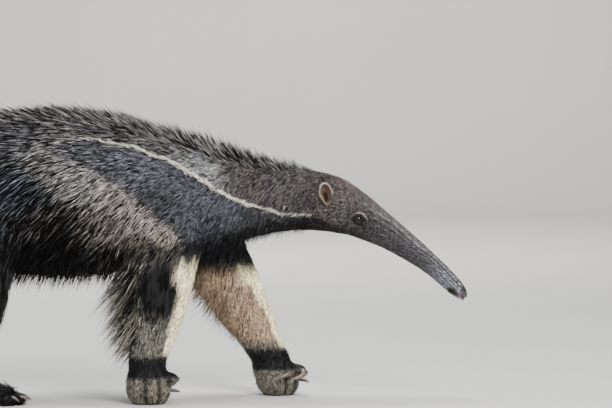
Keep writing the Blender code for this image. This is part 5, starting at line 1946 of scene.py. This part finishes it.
def growEarHair(cup, turn, side, sign):
    # Short pale hairs along the rim and darker ones just behind it
    co, normals = coordinates(cup.data), normalsOf(cup.data)
    # In order of place, because the numbering of the points can change from run to run
    order = np.lexsort(np.round(co, ear["orderDigits"]).T)
    co, normals = co[order], normals[order]
    place = np.array(earFrame(side, sign)[0])
    local = (co - place) @ np.array(turn.to_3x3())
    reach, away, upper = earReaches(local, sign)
    rim = step(0.84, 0.96, reach) * step(0.0010, 0.0050, away)
    weights = rim + 0.20 * step(0.80, 0.95, reach)
    n = ear["rimTufts"]
    chosen = chance.choice(len(co), n, p=weights / weights.sum())
    roots = co[chosen] + chance.normal(0, ear["astray"], (n, 3))
    facing = normals[chosen]
    outwards = unit((co[chosen] - place) * (1, 0.2, 1))
    heading = unit(outwards + facing * 0.5 + chance.normal(0, 0.25, (n, 3)) + np.array((-0.4, 0, 0.2)))
    length = chance.uniform(*ear["tuftLength"], n) * (0.75 + 0.4 * rim[chosen])
    path = np.stack([roots - facing * ear["sunk"], roots + heading * length[:, None]], axis=1)
    pale = mix(ear["back"], ear["rim"], rim[chosen] * (0.25 + 0.75 * upper[chosen]))
    tone = chance.uniform(0.7, 1.2, (n, 1))
    weave(f"coat_ear_{side}", path, np.stack([facing, facing], axis=1),
          ear["tuftWidth"] * chance.uniform(0.7, 1.2, n), (pale * 0.5 * tone, pale * tone, np.full(n, 0.3)),
          chance.uniform(0, 1, (n, 2)), fineHair)


# Claws: horn with a ridge along the top, laid where the solids have them
claws = {
    "sides": 14,
    "steps": 16,
    "roll": 74.0,
    "hindRadius": 0.020,
    "hindBend": 55.0,
    "hindThickness": 0.0046,
    "colours": ((0.0, (0.060, 0.048, 0.040)), (1.0, (0.190, 0.155, 0.120))),
}


def hornMaterial():
    material, tree, shader = makeMaterial("dark horn", 0.38, 0.5, 0.0, 0.15)
    shader.inputs["Coat Roughness"].default_value = 0.25
    tipward = attribute(tree, "tipward")
    growth = noise(tree, ownSpace(tree), 260.0, 5.0, 0.6)
    joined = addNode(tree, 'ShaderNodeCombineXYZ', {"X": tipward}).outputs[0]
    bands = addNode(tree, 'ShaderNodeTexWave', {"Vector": joined}, Scale=14.0, Distortion=2.2, Detail=3.0)
    painted = tint(tree, addRamp(tree, tipward, claws["colours"]), growth, 0.55, 1.4)
    painted = tint(tree, painted, bands.outputs["Fac"], 0.85, 1.12)
    feed(tree, shader, {"Base Color": painted, "Normal": bump(tree, growth, 0.4, 0.0004)})
    return material


def buildClaw(node, radius, bend, thick, place, material):
    rows = []
    for i in range(claws["steps"] + 1):
        t = i / claws["steps"]
        angle = math.radians(bend) * t
        wide = thick * (1 - 0.93 * t**1.6)
        rows.append((radius * math.sin(angle), 0.0, radius * (math.cos(angle) - 1), wide, wide * 0.8))
    horn = growForm(node + "_horn", np.array(rows), claws["sides"], 0.35)
    co = coordinates(horn.data)
    angle = np.arctan2(co[:, 0], radius + co[:, 2])
    tipward = np.clip(angle / math.radians(bend), 0, 1)
    placeLocally(horn, place)
    addValues(horn.data, "tipward", tipward)
    dress(horn, material, "horn", node)


def addClaws():
    material = hornMaterial()
    for side, sign in sides:
        for size, (_, _, _, _, radius, bend, thick) in foreclaws.items():
            start, heading = foreclawPlace("foreleg " + side, size, sign)
            roll = Matrix.Rotation(math.radians(-sign * claws["roll"]), 4, 'X')
            buildClaw(f"claw_fore_{side}_{size}", radius, bend, thick,
                      Matrix.Translation(start) @ heading @ roll, material)
        for number in range(toes["count"]):
            toe = toePlace("hindleg " + side, number, sign)
            onward = Vector((toes["radii"][0] * toes["clawAhead"], 0, toes["clawAbove"]))
            start = Matrix.Translation(toe + onward)
            buildClaw(f"claw_hind_{side}_{number + 1}", claws["hindRadius"], claws["hindBend"],
                      claws["hindThickness"], start, material)


report("eyes, ears and claws")
addEyes()
earSkin = earMaterial()
for side, sign in sides:
    cup, turn = buildEar(side, sign, earSkin)
    growEarHair(cup, turn, side, sign)
addClaws()

# A plain pale floor that curves up behind, soft lights and the camera
studio = {
    "floor": (0.62, 0.61, 0.59),
    "floorMiddle": (0.3, -0.6, 0),
    "floorSize": (20, 17.2, 1),
    "wallHeight": 1.2,
    "bend": 1.15,
    "lights": (
        ("key", (1.9, -3.8, 2.9), (0.45, 0.0, 0.30), 2.3, 335.0, (1.0, 0.985, 0.955)),
        ("fill", (-3.2, -3.6, 1.8), (0.2, 0.0, 0.30), 2.4, 60.0, (0.93, 0.965, 1.0)),
        ("top", (0.3, 0.4, 4.2), (0.3, 0.0, 0.30), 2.4, 220.0, (0.97, 0.985, 1.0)),
        ("wall", (0.4, 4.6, 3.2), (0.4, 7.6, 0.20), 3.0, 200.0, (1.0, 0.99, 0.97)),
        ("back", (-0.5, 4.0, 2.4), (0.3, 0.0, 0.35), 2.2, 60.0, (1.0, 0.99, 0.97)),
    ),
    "sky": (0.80, 0.84, 0.90),
    "skyStrength": 0.22,
}


def addStudio():
    bpy.ops.object.select_all(action='DESELECT')
    bpy.ops.mesh.primitive_plane_add(size=1, location=studio["floorMiddle"])
    floor = bpy.context.object
    floor.name = "floor"
    floor.scale = studio["floorSize"]
    bpy.ops.object.transform_apply(location=True, rotation=True, scale=True)
    far = max(v.co.y for v in floor.data.vertices) - 0.01
    bpy.ops.object.mode_set(mode='EDIT')
    bpy.ops.mesh.select_mode(type='VERT')
    bpy.ops.mesh.select_all(action='DESELECT')
    bpy.ops.object.mode_set(mode='OBJECT')
    for v in floor.data.vertices:
        v.select = v.co.y > far
    bpy.ops.object.mode_set(mode='EDIT')
    # The wall is low enough for a camera behind it to look over
    bpy.ops.mesh.extrude_region_move(TRANSFORM_OT_translate={"value": (0, 0, studio["wallHeight"])})
    bpy.ops.object.mode_set(mode='OBJECT')
    shapeBy('BEVEL', floor, width=studio["bend"], segments=16)
    floor.data.shade_smooth()
    material, tree, shader = makeMaterial("studio floor", 0.8, 0.2)
    cloud = noise(tree, ownSpace(tree), 2.5, 4.0)
    plain = addNode(tree, 'ShaderNodeRGB', {}).outputs[0]
    plain.default_value = (*studio["floor"], 1)
    feed(tree, shader, {"Base Color": tint(tree, plain, cloud, 0.97, 1.03)})
    floor.data.materials.append(material)
    for name, place, aim, size, power, colour in studio["lights"]:
        light = bpy.data.lights.new(name, 'AREA')
        light.shape = 'DISK'
        light.size = size
        light.energy = power
        light.color = colour
        lamp = bpy.data.objects.new(name, light)
        bpy.context.scene.collection.objects.link(lamp)
        lamp.location = place
        lamp.rotation_euler = (Vector(aim) - Vector(place)).to_track_quat('-Z', 'Y').to_euler()
    world = bpy.data.worlds.new("studio air")
    world.use_nodes = True
    air = world.node_tree.nodes["Background"]
    air.inputs["Color"].default_value = (*studio["sky"], 1)
    air.inputs["Strength"].default_value = studio["skyStrength"]
    bpy.context.scene.world = world


def addCamera():
    lens = bpy.data.cameras.new("camera")
    eye = bpy.data.objects.new("camera", lens)
    bpy.context.scene.collection.objects.link(eye)
    lens.sensor_width = camera["sensor"]
    lens.lens = camera["sensor"] * camera["distance"] / camera["frameWidth"]
    down = math.radians(camera["down"])
    back = Vector((0, -math.cos(down), math.sin(down)))
    eye.location = Vector(camera["target"]) + back * camera["distance"]
    eye.rotation_euler = (math.pi / 2 - down, 0, 0)
    lens.clip_start, lens.clip_end = camera["clip"]
    bpy.context.scene.camera = eye


report("studio")
addStudio()
addCamera()
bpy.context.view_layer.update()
report("done")
